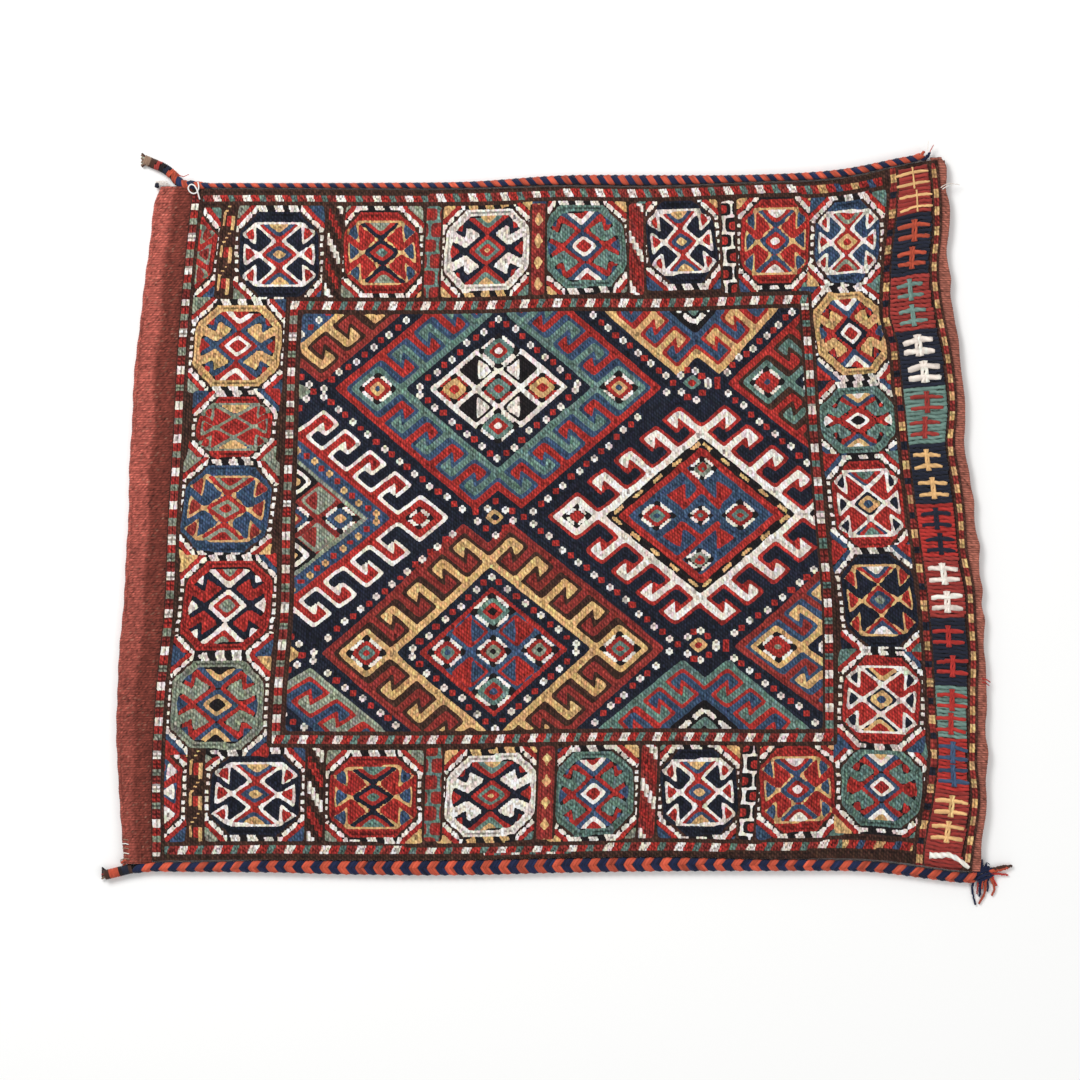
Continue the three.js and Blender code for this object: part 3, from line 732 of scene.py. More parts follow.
# Corner yarns run from the upper left round by the upper right and lower right to the lower left
OCTAGONS: tuple[Octagon, ...] = tuple(Octagon(*row) for row in (
    (-13, 79, OUTLINED, R, S, K, (S, R), (S, R), (B, T, B, B), (50, 48, -.06, 0)),
    (118, 79, OUTLINED, N, W, R, (R, B, G), (R, B, G), (S, B, B, S), (49.8, 50.7, .09, -.01)),
    (247, 76, OUTLINED, R, G, B, (N, R, S), (N, R, T), (S, S, G, S), (47.2, 49.5, .12, -.01)),
    (379, 74, RINGED, N, W, R, (R, T, G), (R, T, R, G), (G, G, T, G), (52.8, 49.2, -.02, -.03), 5, G),
    (501, 72, RINGED, R, T, B, (B, W, R), (B, W, R), (B, G, S, G), (52, 49.2, .12, -.04)),
    (624, 67, OUTLINED, N, W, R, (R, B, G), (R, B, G), (T, G, B, B), (43, 50.3, .11, -.02)),
    (742, 70, OUTLINED, R, G, B, (B, R, W), (B, R, W), (G, G, T, B), (43, 51.1, -.08, 0)),
    (832, 75.5, OUTLINED, B, W, R, (R, S, R), (R, G, R, I), (B, T, T, G), (40, 48, -.1, .06)),
    (-13, 725, OUTLINED, R, B, W, (K, S), (K, S), (B, G, B, B), (47, 53, -.05, .03)),
    (119, 729, OUTLINED, N, W, R, (R, B, G), (R, B, G), (S, B, B, S), (51.1, 49.6, -.05, .03)),
    (254, 732, OUTLINED, R, G, B, (N, R, T), (N, R, T), (S, S, G, S), (49.6, 49.1, .01, -.01)),
    (389, 731, RINGED, N, W, R, (R, T, G), (R, T, R, G), (G, G, T, G), (52.2, 49.2, -.02, -.05), 5, G),
    (506, 731, RINGED, R, T, B, (B, W, R), (B, W, R), (B, G, S, G), (45.7, 50.5, .05, -.06)),
    (627, 729.6, OUTLINED, N, W, R, (R, B, G), (R, B, G), (T, G, B, B), (43, 52, .12, -.04)),
    (739, 725, OUTLINED, R, G, B, (B, R, W), (B, R, W), (G, G, T, B), (42.5, 51.2, .12, -.04)),
    (835, 721.5, RINGED, R, T, R, (B, W, G), (B, W, R), (B, T, T, G), (46, 47.4, .06, 0)),
    (74, 189, RINGED, B, G, R, (R, W, R), (R, W, R), (S, B, B, S), (53, 49, -.04, .02)),
    (74, 286.5, OUTLINED, R, S, R, (B, G), (R,), (B, R, S, S), (45, 37, -.05, -.03), 0),
    (69, 385, OUTLINED, B, G, K, (R, S, R), (R, S, R), (S, S, G, G), (51, 52, -.1, .05)),
    (73.6, 502, RINGED, N, R, W, (W, R, S), (W, R, S), (G, R, B, B), (51, 54, -.05, -.02)),
    (72, 621, RINGED, R, S, B, (B, G, I), (B, G, I), (B, G, R, R), (53, 53, .01, .04)),
    (828, 183.5, RINGED, R, G, B, (B, W, R), (N, W, R), (B, T, G, R), (43.7, 49, .1, .05)),
    (829, 287, RINGED, R, T, W, (B, G, W), (R, W, I), (N, R, R, R), (47, 39, -.05, .04)),
    (832, 386, OUTLINED, R, W, N, (B, R, T), (N, G, B), (R, T, B, R), (41, 52, .02, 0), 0),
    (835, 500, OUTLINED, N, G, R, (R, B, W), (R, B, S), (R, R, T, N), (42, 55, .06, -.03), 0),
    (834, 618, OUTLINED, R, W, N, (N, G, R), (N, G, B), (T, R, B, B), (43.8, 51.4, -.06, .02), 0),
))


@dataclass
class Border:
    """The border of octagons, with strips between those of the two long rows."""

    chart: Chart
    outline_corner: Pairs = ((29, -37), (43, -25), (28, -13))
    outline_side: Pairs = ((25, 1), (41, -12), (41, 13))
    ring_arm: Pairs = ((42, -27), (25, -16), (23, -30), (8, -20), (24, -5), (42, -16))
    ring_hook: Pairs = ((39, -31), (28, -38), (28, -24))
    ring_side: Pairs = ((41, -9), (29, 0), (41, 9))
    drawn: Pair = (47.0, 51.0)
    cut: float = 25.0
    ring: float = 7.8
    surround: float = 8.0
    corner_bands: Row = (2.5, 3.6, 8.2, 12.4, 14.2)
    dashes: Row = (-20, 0, 19)
    strip_period: float = 38.0

    def octagon(self, shape: Octagon) -> None:
        """Draw one octagon with its surround, on a chart that leans as it does."""
        chart = self.chart
        x, y = np.abs(chart.u - shape.right), np.abs(chart.v - shape.down)
        wide, tall = shape.frame[:2]
        beyond = (x - wide + y - tall + self.cut) / math.sqrt(2)
        cell = (x < wide + self.surround) & (y < tall + self.surround)
        chart.paint(cell, Yarn.BROWN)
        for yarn, (right, down) in zip(shape.corner, CORNERS):
            part = cell & ((chart.u - shape.right) * right > 0) & ((chart.v - shape.down) * down > 0)
            line, white, band, rim, fill = (part & (beyond > start) for start in self.corner_bands)
            chart.paint(line, Yarn.INK)
            chart.paint(white, Yarn.IVORY)
            chart.paint(white & ((x - y) % 17 < 2.4), Yarn.INK, crisp=True)
            chart.paint(band, Yarn.BLUE if yarn is Yarn.RED else Yarn.RED)
            chart.paint(rim, Yarn.INK)
            chart.paint(fill, yarn)
        beside, above = cell & (y < tall - self.cut + 3), cell & (x < wide - self.cut + 3)
        chart.paint(beside & (x > wide), Yarn.BROWN)
        bars = (x > wide + 1.5) & (x < wide + 6) & (chart.v % 9.4 < 5.8)
        chart.paint(beside & bars, Yarn.IVORY, crisp=True)
        chart.paint(above & (y > tall), Yarn.INK)
        for middle in self.dashes:
            lean = chart.u - shape.right - middle - 0.5 * (y - tall - 4) * np.sign(chart.v - shape.down)
            dash = cell & (y > tall + 0.5) & (y < tall + 7.5) & (np.abs(lean) < 5.4)
            chart.paint(dash, shape.dash, crisp=True)
            chart.shade[dash & (np.abs(np.abs(lean) - 1.8) < 0.8)] = 0.6
        body = (x < wide) & (y < tall) & (beyond < 0)
        depth = np.minimum(np.minimum(wide - x, tall - y), -beyond)
        scale = (wide / self.drawn[0], tall / self.drawn[1])
        chart.paint(body, shape.ground if shape.style is OctagonStyle.OUTLINED else shape.line)
        slant = chart.u + np.where(depth > self.ring / 2, 1, -1) * chart.v
        chart.shade[body & (depth < self.ring) & (slant % 6 < 1.6)] = 0.75
        chart.shade[body & (np.abs(depth - self.ring / 2) < 0.9)] = 0.55
        if shape.style is OctagonStyle.OUTLINED:
            self.outlined(shape, scale)
        else:
            inner = body & (depth > self.ring)
            chart.paint(inner & (depth < self.ring + 2.2), Yarn.INK)
            chart.paint(inner & (depth >= self.ring + 2.2), shape.ground)
            self.ringed(shape, scale, inner)

    def nested(self, corners: Pairs, yarns: Yarns, about: Pair,
               centre: Pair, step: float = 0.32, room: Array | None = None) -> None:
        """Draw a figure in smaller and smaller copies of itself.

        Args:
            corners: the outermost copy.
            yarns: yarns from the outside in.
            about: the point that the copies shrink to.
            centre: chart place that everything is measured from.
            step: share that each copy is smaller by.
            room: mask that the figure stays in.
        """
        for index, yarn in enumerate(yarns):
            reach = 1 - index * step
            smaller = [(about[0] + (x - about[0]) * reach, about[1] + (y - about[1]) * reach)
                       for x, y in corners]
            where = self.chart.inside(smaller, centre)
            self.chart.paint(where if room is None else where & room, yarn)

    def outlined(self, shape: Octagon, scale: Pair) -> None:
        """Fill an octagon whose hooks are drawn by an outline."""
        chart, waist, centre = self.chart, shape.waist, (shape.right, shape.down)
        wide, tall = scale
        thin = {Yarn.IVORY: 2.7, Yarn.SAGE: 2.3}.get(shape.line, 1.8)
        for down in (1, -1):
            top = -37 * tall * down
            waist_at = (waist * 0.6, -17 * tall * down)
            self.nested(((-27 * wide, top), (27 * wide, top), waist_at, (-waist_at[0], waist_at[1])),
                        shape.wedge, (0, top), centre, 0.24)
        eye = ((0, -17 * tall), (24 * wide, 0), (0, 17 * tall), (-24 * wide, 0))
        self.nested(eye, shape.eye, (0, 0), centre)
        for right, down in QUARTERS:
            quarter = (wide * right, tall * down)
            for hook in (self.outline_corner, self.outline_side):
                place = mirrored(hook, *quarter)
                chart.paint(chart.inside(place, centre), shape.hooks)
                chart.paint(chart.near(place, thin, centre, closed=True), shape.line)
            edge = mirrored(((0, -38), (29, -38), (waist, -17), (25, 1)), *quarter)
            chart.paint(chart.near(edge, thin + 0.5, centre), shape.line)

    def ringed(self, shape: Octagon, scale: Pair, inner: Array) -> None:
        """Fill an octagon whose arms grow from its ring."""
        chart, centre = self.chart, (shape.right, shape.down)
        wide, tall = scale
        for down in (1, -1):
            self.nested(mirrored(((-24, -42), (24, -42), (0, -19)), wide, tall * down), shape.wedge,
                        (0, -42 * tall * down), centre, 0.3, inner)
        for right, down in QUARTERS:
            quarter = (wide * right, tall * down)
            arm = mirrored(self.ring_arm, *quarter)
            chart.paint(chart.near(arm, 3.0, centre, closed=True) & inner, Yarn.INK)
            chart.paint(chart.inside(arm, centre), shape.line)
            chart.paint(chart.inside(mirrored(self.ring_hook, *quarter), centre) & inner, shape.hooks)
            chart.paint(chart.inside(mirrored(self.ring_side, *quarter), centre), shape.hooks)
        eye = mirrored(((0, -19), (21, 0), (0, 19), (-21, 0)), wide, tall)
        chart.paint(chart.near(eye, 3.0, centre, closed=True), Yarn.INK)
        self.nested(eye, shape.eye, (0, 0), centre, 0.26)

    def strip(self, left: float, right: float, top: float, bottom: float,
              ground: Yarn) -> tuple[Array, Array]:
        """Clear one strip between two octagons.

        Returns:
            Mask of the strip, and each stitch's share across it.
        """
        chart = self.chart
        chart.paint(chart.box(left - 3, top, right + 3, bottom), Yarn.BROWN)
        room = chart.box(left, top, right, bottom)
        chart.paint(room, ground)
        return room, (chart.u - left) / (right - left)

    def strips(self, top: float, bottom: float, lefts: Sequence[float], slide: float) -> None:
        """Draw the strips between the octagons of one long row.

        Args:
            top: chart place of the row's upper end.
            bottom: chart place of its lower end.
            lefts: chart place of each strip's left edge.
            slide: how far the first strip's figures lie below the upper end.
        """
        chart = self.chart
        room, x = self.strip(lefts[0], lefts[0] + 15, top, bottom, Yarn.BROWN)
        turn = (chart.v - top - slide) % self.strip_period
        for place, half, start, end, yarn in ((0.15, 0.13, -1, 17, Yarn.GOLD), (0.87, 0.13, 3, 22, Yarn.GOLD),
                                              (0.51, 0.2, 3, 16, Yarn.RED)):
            chart.paint(room & (np.abs(x - place) < half) & (turn > start) & (turn < end), yarn, crisp=True)
        link = np.abs(x - 0.87 + (turn - 22) / 16 * 0.72) < 0.14
        chart.paint(room & link & (turn > 22) & (turn % 5 < 2.6), Yarn.GOLD, crisp=True)
        for left, wide, ground, line in ((lefts[2], 18, Yarn.BRICK, Yarn.TEAL),
                                         (lefts[5], 16, Yarn.INK, Yarn.IVORY)):
            room, x = self.strip(left, left + wide, top, bottom, ground)
            turn = (chart.v % self.strip_period) / self.strip_period
            lane = np.where(turn < 0.5, x, 1 - x)
            chart.paint(room & (lane > 0.55) & (np.abs(turn % 0.5 - 0.3) < 0.13), Yarn.RED)
            chart.paint(room & ((np.abs(lane - 0.2) < 0.08) | (turn % 0.5 < 0.07)), line)
        for left, ground in ((lefts[1], Yarn.BROWN), (lefts[4], Yarn.BRICK)):
            room, x = self.strip(left, left + 18, top, bottom, ground)
            lane = (x * 18 - chart.v // 7.5 * 4.5) % 36
            chart.paint(room & (lane < 8), Yarn.IVORY, crisp=True)
            chart.paint(room & (np.abs(lane - 22) < 4), Yarn.RED, crisp=True)
            chart.shade[room & (lane % 4 < 1)] = 0.45
        room, x = self.strip(lefts[3], lefts[3] + 17, top, bottom, Yarn.BRICK)
        arm, off = np.abs(chart.v % 26 - 13), np.abs(x - 0.5)
        chart.paint(room & ((off < 0.12) & (arm < 9) | (off < 0.36) & (arm < 2.6)), Yarn.GOLD)

    def draw(self) -> None:
        """Draw the whole border."""
        chart = self.chart
        chart.paint(chart.box(0, 0, BORDER_RIGHT, CHART_HEIGHT) & ~chart.box(*BORDER_OPENING), Yarn.BROWN)
        for shape in OCTAGONS:
            warp = (1.0, shape.frame[2], shape.frame[3], 1.0)
            Border(chart.warped(shape.right, shape.down, warp)).octagon(shape)
        self.strips(20, 131, (43, 177, 302, 435, 558, 675), 8.5)
        self.strips(674, 786, (43, 179, 314, 443, 560, 675), 14.5)


@dataclass
class Guards:
    """Narrow barred stripes round the border and the field."""

    chart: Chart
    period: float = 40.8
    ends: Row = (10, 21, 29)
    stroke: float = 3.5
    gap: float = 0.8

    def stripe(self, room: Array, along: Array, anchors: Sequence[float], yarns: Yarns,
               lean: Array | float = 0.0) -> None:
        """Draw one barred stripe inside a mask, each bar in slanted strokes.

        Args:
            room: the stripe's stitches.
            along: each stitch's place along the stripe.
            anchors: middles of the first yarn's bars, carried on at the period outside them.
            yarns: the four yarns of one period.
            lean: how far each stitch's place is slid along, for slanted strokes.
        """
        before = [anchors[0] - self.period * k for k in range(24, 0, -1)]
        after = [anchors[-1] + self.period * k for k in range(1, 25)]
        edges = np.array([*before, *anchors, *after]) - self.ends[0] / 2
        slid = along + lean
        period = np.clip(np.searchsorted(edges, slid) - 1, 0, len(edges) - 2)
        place = (slid - edges[period]) / (edges[period + 1] - edges[period]) * self.period
        turn = np.searchsorted(np.array(self.ends), place.ravel()).reshape(place.shape)
        self.chart.yarn[room] = np.array([YARN_INDEX[yarn] for yarn in yarns])[turn][room]
        self.chart.crisp[room] = True
        self.chart.shade[room & (place % self.stroke < self.gap)] = 0.38

    def column(self, left: float, right: float, top: float, bottom: float, anchors: Sequence[float],
               yarns: Yarns) -> None:
        """Draw one upright guard: two columns of beads with painted shade in the groove between them."""
        chart = self.chart
        room = chart.box(left, top, right, bottom)
        self.stripe(room, chart.v, anchors, yarns)
        chart.shade[room & (np.abs(chart.u - (left + right) / 2) < 0.8)] = 0.4

    def draw(self) -> None:
        """Draw every guard, with the dark lines that edge them."""
        chart = self.chart
        u, v = chart.u, chart.v
        upright = Guards(chart, stroke=5.0, gap=1.0)
        teal, sage, late = (W, R, T, K), (W, R, S, K), (G, R, B, R)
        lean = 0.45 * (v % 40)
        upper = np.interp(u, (0, 300, 400, 500, 590, 640, 760, 800, 890),
                          (11.5, 11, 9.5, 8, 7.5, 7, 8, 10.5, 12))
        lower = np.interp(u, (0, 450, 700, 800, 890), (794.5, 797.5, 794, 790.5, 788))
        for middle, marks, slide in ((upper, (38, 76, 117, 157, 195, 242), 9.9 - 0.45 * v),
                                     (lower, (52, 92, 133, 175, 216), lean)):
            chart.paint((np.abs(v - middle) < 9.5) & (u < BORDER_RIGHT), Yarn.BROWN)
            room = (np.abs(v - middle) < 4.7) & (u > 10) & (u < 880)
            self.stripe(room & (u < 795), u, marks, teal, slide)
            self.stripe(room & (u >= 795), u, (810, 851), late, slide)
        chart.paint(chart.box(0, 0, 15, CHART_HEIGHT), Yarn.BROWN)
        upright.column(2, 10.5, 4, 804, (22, 58, 98, 137, 173, 217, 260, 300, 340, 380, 421, 465, 510, 555,
                                         597, 640), sage)
        chart.paint(chart.box(*FIELD_GUARDS) & ~chart.box(*FIELD_WINDOW), Yarn.BROWN)
        self.stripe(chart.box(136, 135, 778, 144.5), u, (150, 191), teal, lean)
        self.stripe(chart.box(136, 659, 778, 668.5), u,
                    (146, 182, 222, 262, 303, 331, 370, 408, 446, 481, 514, 550, 588, 624, 659, 694, 731),
                    teal, lean)
        upright.column(136, 145.5, 146, 658, (260, 296, 337, 379, 418, 457, 504, 549, 594, 637), sage)
        upright.column(769, 778, 146, 658, (230, 271, 317, 358, 398, 460, 502, 545, 588, 628), teal)


@dataclass
class Closure:
    """The mouth's closure: a wavy guard, ribbed blocks with wrapped figures, and a guard at the hem."""

    chart: Chart
    wave_down: Row = (
        20, 60, 100, 140, 170, 200, 240, 280, 400, 505, 553, 640, 680, 720, 790)
    wave_right: Row = (
        894, 889, 881, 875, 871.5, 878, 879.5, 881, 882, 886, 888, 892, 894, 890, 884)
    blocks: tuple[tuple[float, float, Yarn, Yarn, float], ...] = (
        (4, 57, K, G, 3.2), (57, 126, N, O, 5.2), (126, 189, K, T, 4.8), (189, 255, N, W, 7.2),
        (255, 320, T, K, 4.8), (320, 389, N, G, 4.9), (389, 450, R, N, 4.9), (450, 520, K, W, 6.0),
        (520, 598, N, R, 4.9), (598, 658, T, R, 5.0), (658, 718, R, B, 5.0), (718, 783, K, G, 5.0))
    plain_end: Pair = (783, 806)
    ground_right: float = 931.0
    rib_right: float = 933.0
    post_right: float = 938.0
    hem_guard: Four = (935.5, 3, 942.3, 805)
    rib: float = 4.7
    bar_half: float = 17.5
    bar_gap: float = 6.4
    bar_steps: int = 15
    post_reach: float = 12.5
    post_steps: int = 13

    def wave(self, below: Array | float) -> Array:
        """How far right the wavy guard's middle lies at a place down the chart."""
        return np.interp(below, self.wave_down, self.wave_right)

    def draw(self) -> None:
        """Draw the mouth side: both guards, and the shaded ground that the wraps lie on."""
        chart = self.chart
        u, v = chart.u, chart.v
        middle = self.wave(v)
        chart.paint(u > middle - 8, Yarn.BROWN)
        guard = Guards(chart, stroke=5.0)
        guard.stripe(np.abs(u - middle) < 3.5, v, (257, 298, 342, 383, 422, 462, 505, 553, 596, 637),
                     (G, K, N, K))
        chart.shade[np.abs(u - middle) < 0.8] = 0.55
        room = (u > middle + 6.5) & (u < self.ground_right)
        for top, bottom, ground, _, _ in self.blocks:
            chart.paint(room & (v >= top) & (v < bottom), ground)
        chart.paint(room & (v >= self.plain_end[0]), Yarn.BRICK)
        chart.shade[room] = 0.5
        hem = chart.box(*self.hem_guard)
        chart.paint(hem, Yarn.GOLD)
        chart.paint(hem & (v % 21 < 11), Yarn.BRICK)
        chart.shade[hem & ((np.abs(u - 938.7) < 0.8) | (v % 5.25 < 0.9))] = 0.6

    def wrap(self, panel: Panel) -> Piece:
        """Lay the closure's yarn: wavy ribs block by block, and the figures wrapped over them.

        Args:
            panel: the front panel that the chart lies on.

        Returns:
            The new object.
        """
        rng, soup = np.random.default_rng(31), Soup()

        def lay(right: Array, below: Array, rise: float, radius: Array | float, yarn: Yarn,
                flatten: float) -> None:
            """Lay one yarn along places on the chart."""
            flat = panel.chart(right, below)
            lie = panel.lie(flat[:, 0], flat[:, 1], below / CHART_HEIGHT)
            path = np.column_stack([flat, panel.front_top + rise + lie])
            tone = linear(yarn.value) * (1 + rng.normal(0, 0.1) + rng.normal(0, 0.06, (len(path), 1)))
            add_strand(soup, path, radius, np.clip(tone, 0, 1), plies=2, lay_mm=6.0, flatten=flatten)

        across = np.linspace(-self.bar_half, self.bar_half, self.bar_steps)
        out = np.abs(across) / self.bar_half
        down = np.linspace(-self.post_reach, self.post_reach, self.post_steps)
        blocks = (*self.blocks, (*self.plain_end, K, K, 0))
        for index, (top, bottom, ground, figure, thick) in enumerate(blocks):
            ribs = round((bottom - top) / self.rib)
            for below in top + (np.arange(ribs) + 0.5) * (bottom - top) / ribs:
                right = np.arange(float(self.wave(below)) + 5.8, self.rib_right, 2.4)
                swell = 0.55 * np.sin(right / 5.5 + index + rng.normal(0, 0.8))
                swell = swell + rng.normal(0, 0.25, len(right))
                lay(right, np.clip(below + swell, 1, CHART_HEIGHT - 1), 0.5, self.rib * 0.5, ground, 0.75)
            for turn in (0.27, 0.73) if thick else ():
                centre = top + (bottom - top) * turn + rng.normal(0, 0.6)
                post = (float(self.wave(centre)) + self.post_right) / 2 + rng.normal(0, 1.2)
                for side in (-1, 1):
                    droop = rng.uniform(0.4, 2.6) * out ** 1.5
                    tilt = rng.normal(0, 0.8) * across / self.bar_half
                    below = centre + side * self.bar_gap + droop + tilt + rng.normal(0, 0.2, self.bar_steps)
                    lay(post + across, below, 1.8, thick / 2 * (1.05 - 0.35 * out ** 6), figure, 0.8)
                for side in (-1, 1) if thick > 4 else (0,):
                    sway = side * (0.36 + 0.12 * np.cos(down / 2)) * thick
                    lay(post + sway * 0.7, centre + down, 2.6, thick * 0.33, figure, 0.9)
        right = np.arange(895, 943, 2.0)
        below = np.interp(right, (896, 908, 915, 923, 931, 938, 943), (794.5, 793, 791, 793, 797, 802, 805))
        lay(right, below, 2.2, np.linspace(3.8, 2.4, len(right)), Yarn.IVORY, 0.8)
        return soup.piece("closure_wraps", WRAPPED_WOOL, "woven_cloth")


class DiamondStyle(Enum):
    """How a hooked diamond meets the ground round it."""

    COMBED = "two interlocking rows of hooks inside an outer line"
    FREE = "one row of outlined hooks on the ground"


@dataclass(frozen=True)
class Cell:
    """One of the nine cells in a diamond: nested rings, or two halves."""

    rings: Yarns = ()
    left: Yarn | None = None
    right: Yarn | None = None
    dash: Yarn = Yarn.IVORY
    edge: Yarn = Yarn.INK


def nest(*yarns: Yarn, dash: Yarn = Yarn.IVORY) -> Cell:
    """A cell of nested rings, from the outside in, with a dash along each side."""
    return Cell(rings=yarns, dash=dash)


def halves(left: Yarn, right: Yarn, edge: Yarn = Yarn.INK) -> Cell:
    """A cell of two triangles inside an edge."""
    return Cell(left=left, right=right, edge=edge)


class Inside(Enum):
    """What a hooked diamond holds."""

    FLOWERED = "a band of flowers round nine cells"
    DASHED = "a band of dashes round a framed patch with horns and medallions"
    CREST = "a dashed crest, cut by the edge of the field"


@dataclass(frozen=True)
class HookedDiamond:
    """A large diamond with latch hooks along its sides and an eye at each side corner."""

    right: float
    down: float
    style: DiamondStyle
    outer: Yarn
    outline: Yarn
    stem: Yarn
    eye: tuple[Yarn, Yarn, Yarn]
    band: Yarn
    flower: Yarn
    lattice: Yarn | None = None
    ground: Yarn = Yarn.NAVY
    cells: tuple[tuple[int, int, Cell], ...] = ()
    inside: Inside = Inside.FLOWERED
    warp: Four = (1.0, 0.0, 0.0, 1.0)
    frame: Yarn | None = None


# Figures in the dashed diamond's patch, right and down from its middle
HORNS = (((-20, -54), (1, -32), (-20, -10)), ((1, -32), (21, -10)), ((-25, 50), (1, 27), (-23, 9)),
         ((1, 27), (20, 10)))
BARBS = (((-42, -24), (-18, -38), (-18, -8)), ((18, -41), (39, -28), (19, -8)),
         ((-45, 24), (-21, 8), (-23, 38)), ((18, 13), (41, 26), (19, 41)))
MEDALLIONS = ((-51, 0, 3.9, (R, T, B)), (46, 0, 3.9, (R, T, R)), (0, 0, 2.7, (R, T)),
              (2, -55, 3.1, (S, R, T)), (-1, 52, 3.1, (S, R, B)))
CREST_RINGS = ((14.4, T), (12.2, I), (11.2, S), (9.2, W))
# A diamond in steps: its own reach, where its upper and lower corners are cut, its frame, the inside of
# the frame, its eyes, its hooks along a side, and the cells in it
BODY_REACH = 32.5
BODY_CUT = 23.5
FRAME = (19, 20)
FRAME_INSIDE = 18.5
EYE_STEP = 24
HOOK_RUNS = (16, 6, -4, -13)
CELL_PITCH = 8.7
FLOWER_REACH = 16.5
FLOWER_PITCH = 3.1


def reach_of(p: Array, q: Array) -> Array:
    """How many steps a stitch lies out from the middle of a diamond."""
    return np.maximum(np.abs(p), np.abs(q))


def eyes(p: Array, q: Array) -> tuple[tuple[Array, Array], ...]:
    """Steps from the middle of each of a diamond's two eyes."""
    return tuple((p - EYE_STEP * turn, q + EYE_STEP * turn) for turn in (1, -1))


def hook_sides(p: Array, q: Array) -> tuple[tuple[Array, Array], ...]:
    """Steps out from each side of a diamond, and along it towards its side corner."""
    return (-q, p), (p, -q), (q, -p), (-p, q)


def stem_hooks(p: Array, q: Array, eye: Pair) -> Array:
    """The diamond's own frame, with its hooks and the rings of its two eyes, from low to high steps."""
    where = on(reach_of(p, q), *FRAME)
    for out, run in hook_sides(p, q):
        for reach in HOOK_RUNS:
            head = on(run, reach - 7, reach - 3) & (out + run > reach + 22.5)
            where |= on(out, 20, 29) & (on(run, reach - 7, reach - 6) | head)
    for place in eyes(p, q):
        where |= on(reach_of(*place), *eye)
    return where


def counter_hooks(p: Array, q: Array) -> Array:
    """The hooks that come in from the outer line, between the diamond's own."""
    where = np.zeros(p.shape, dtype=bool)
    for out, run in hook_sides(p, q):
        for reach in HOOK_RUNS:
            head = on(run, reach - 4, reach) & (out + run < reach + 21.5)
            where |= on(out, 22, 30) & (on(run, reach - 1, reach) | head)
    for place in eyes(p, q):
        where &= reach_of(*place) > 6.5
    return where


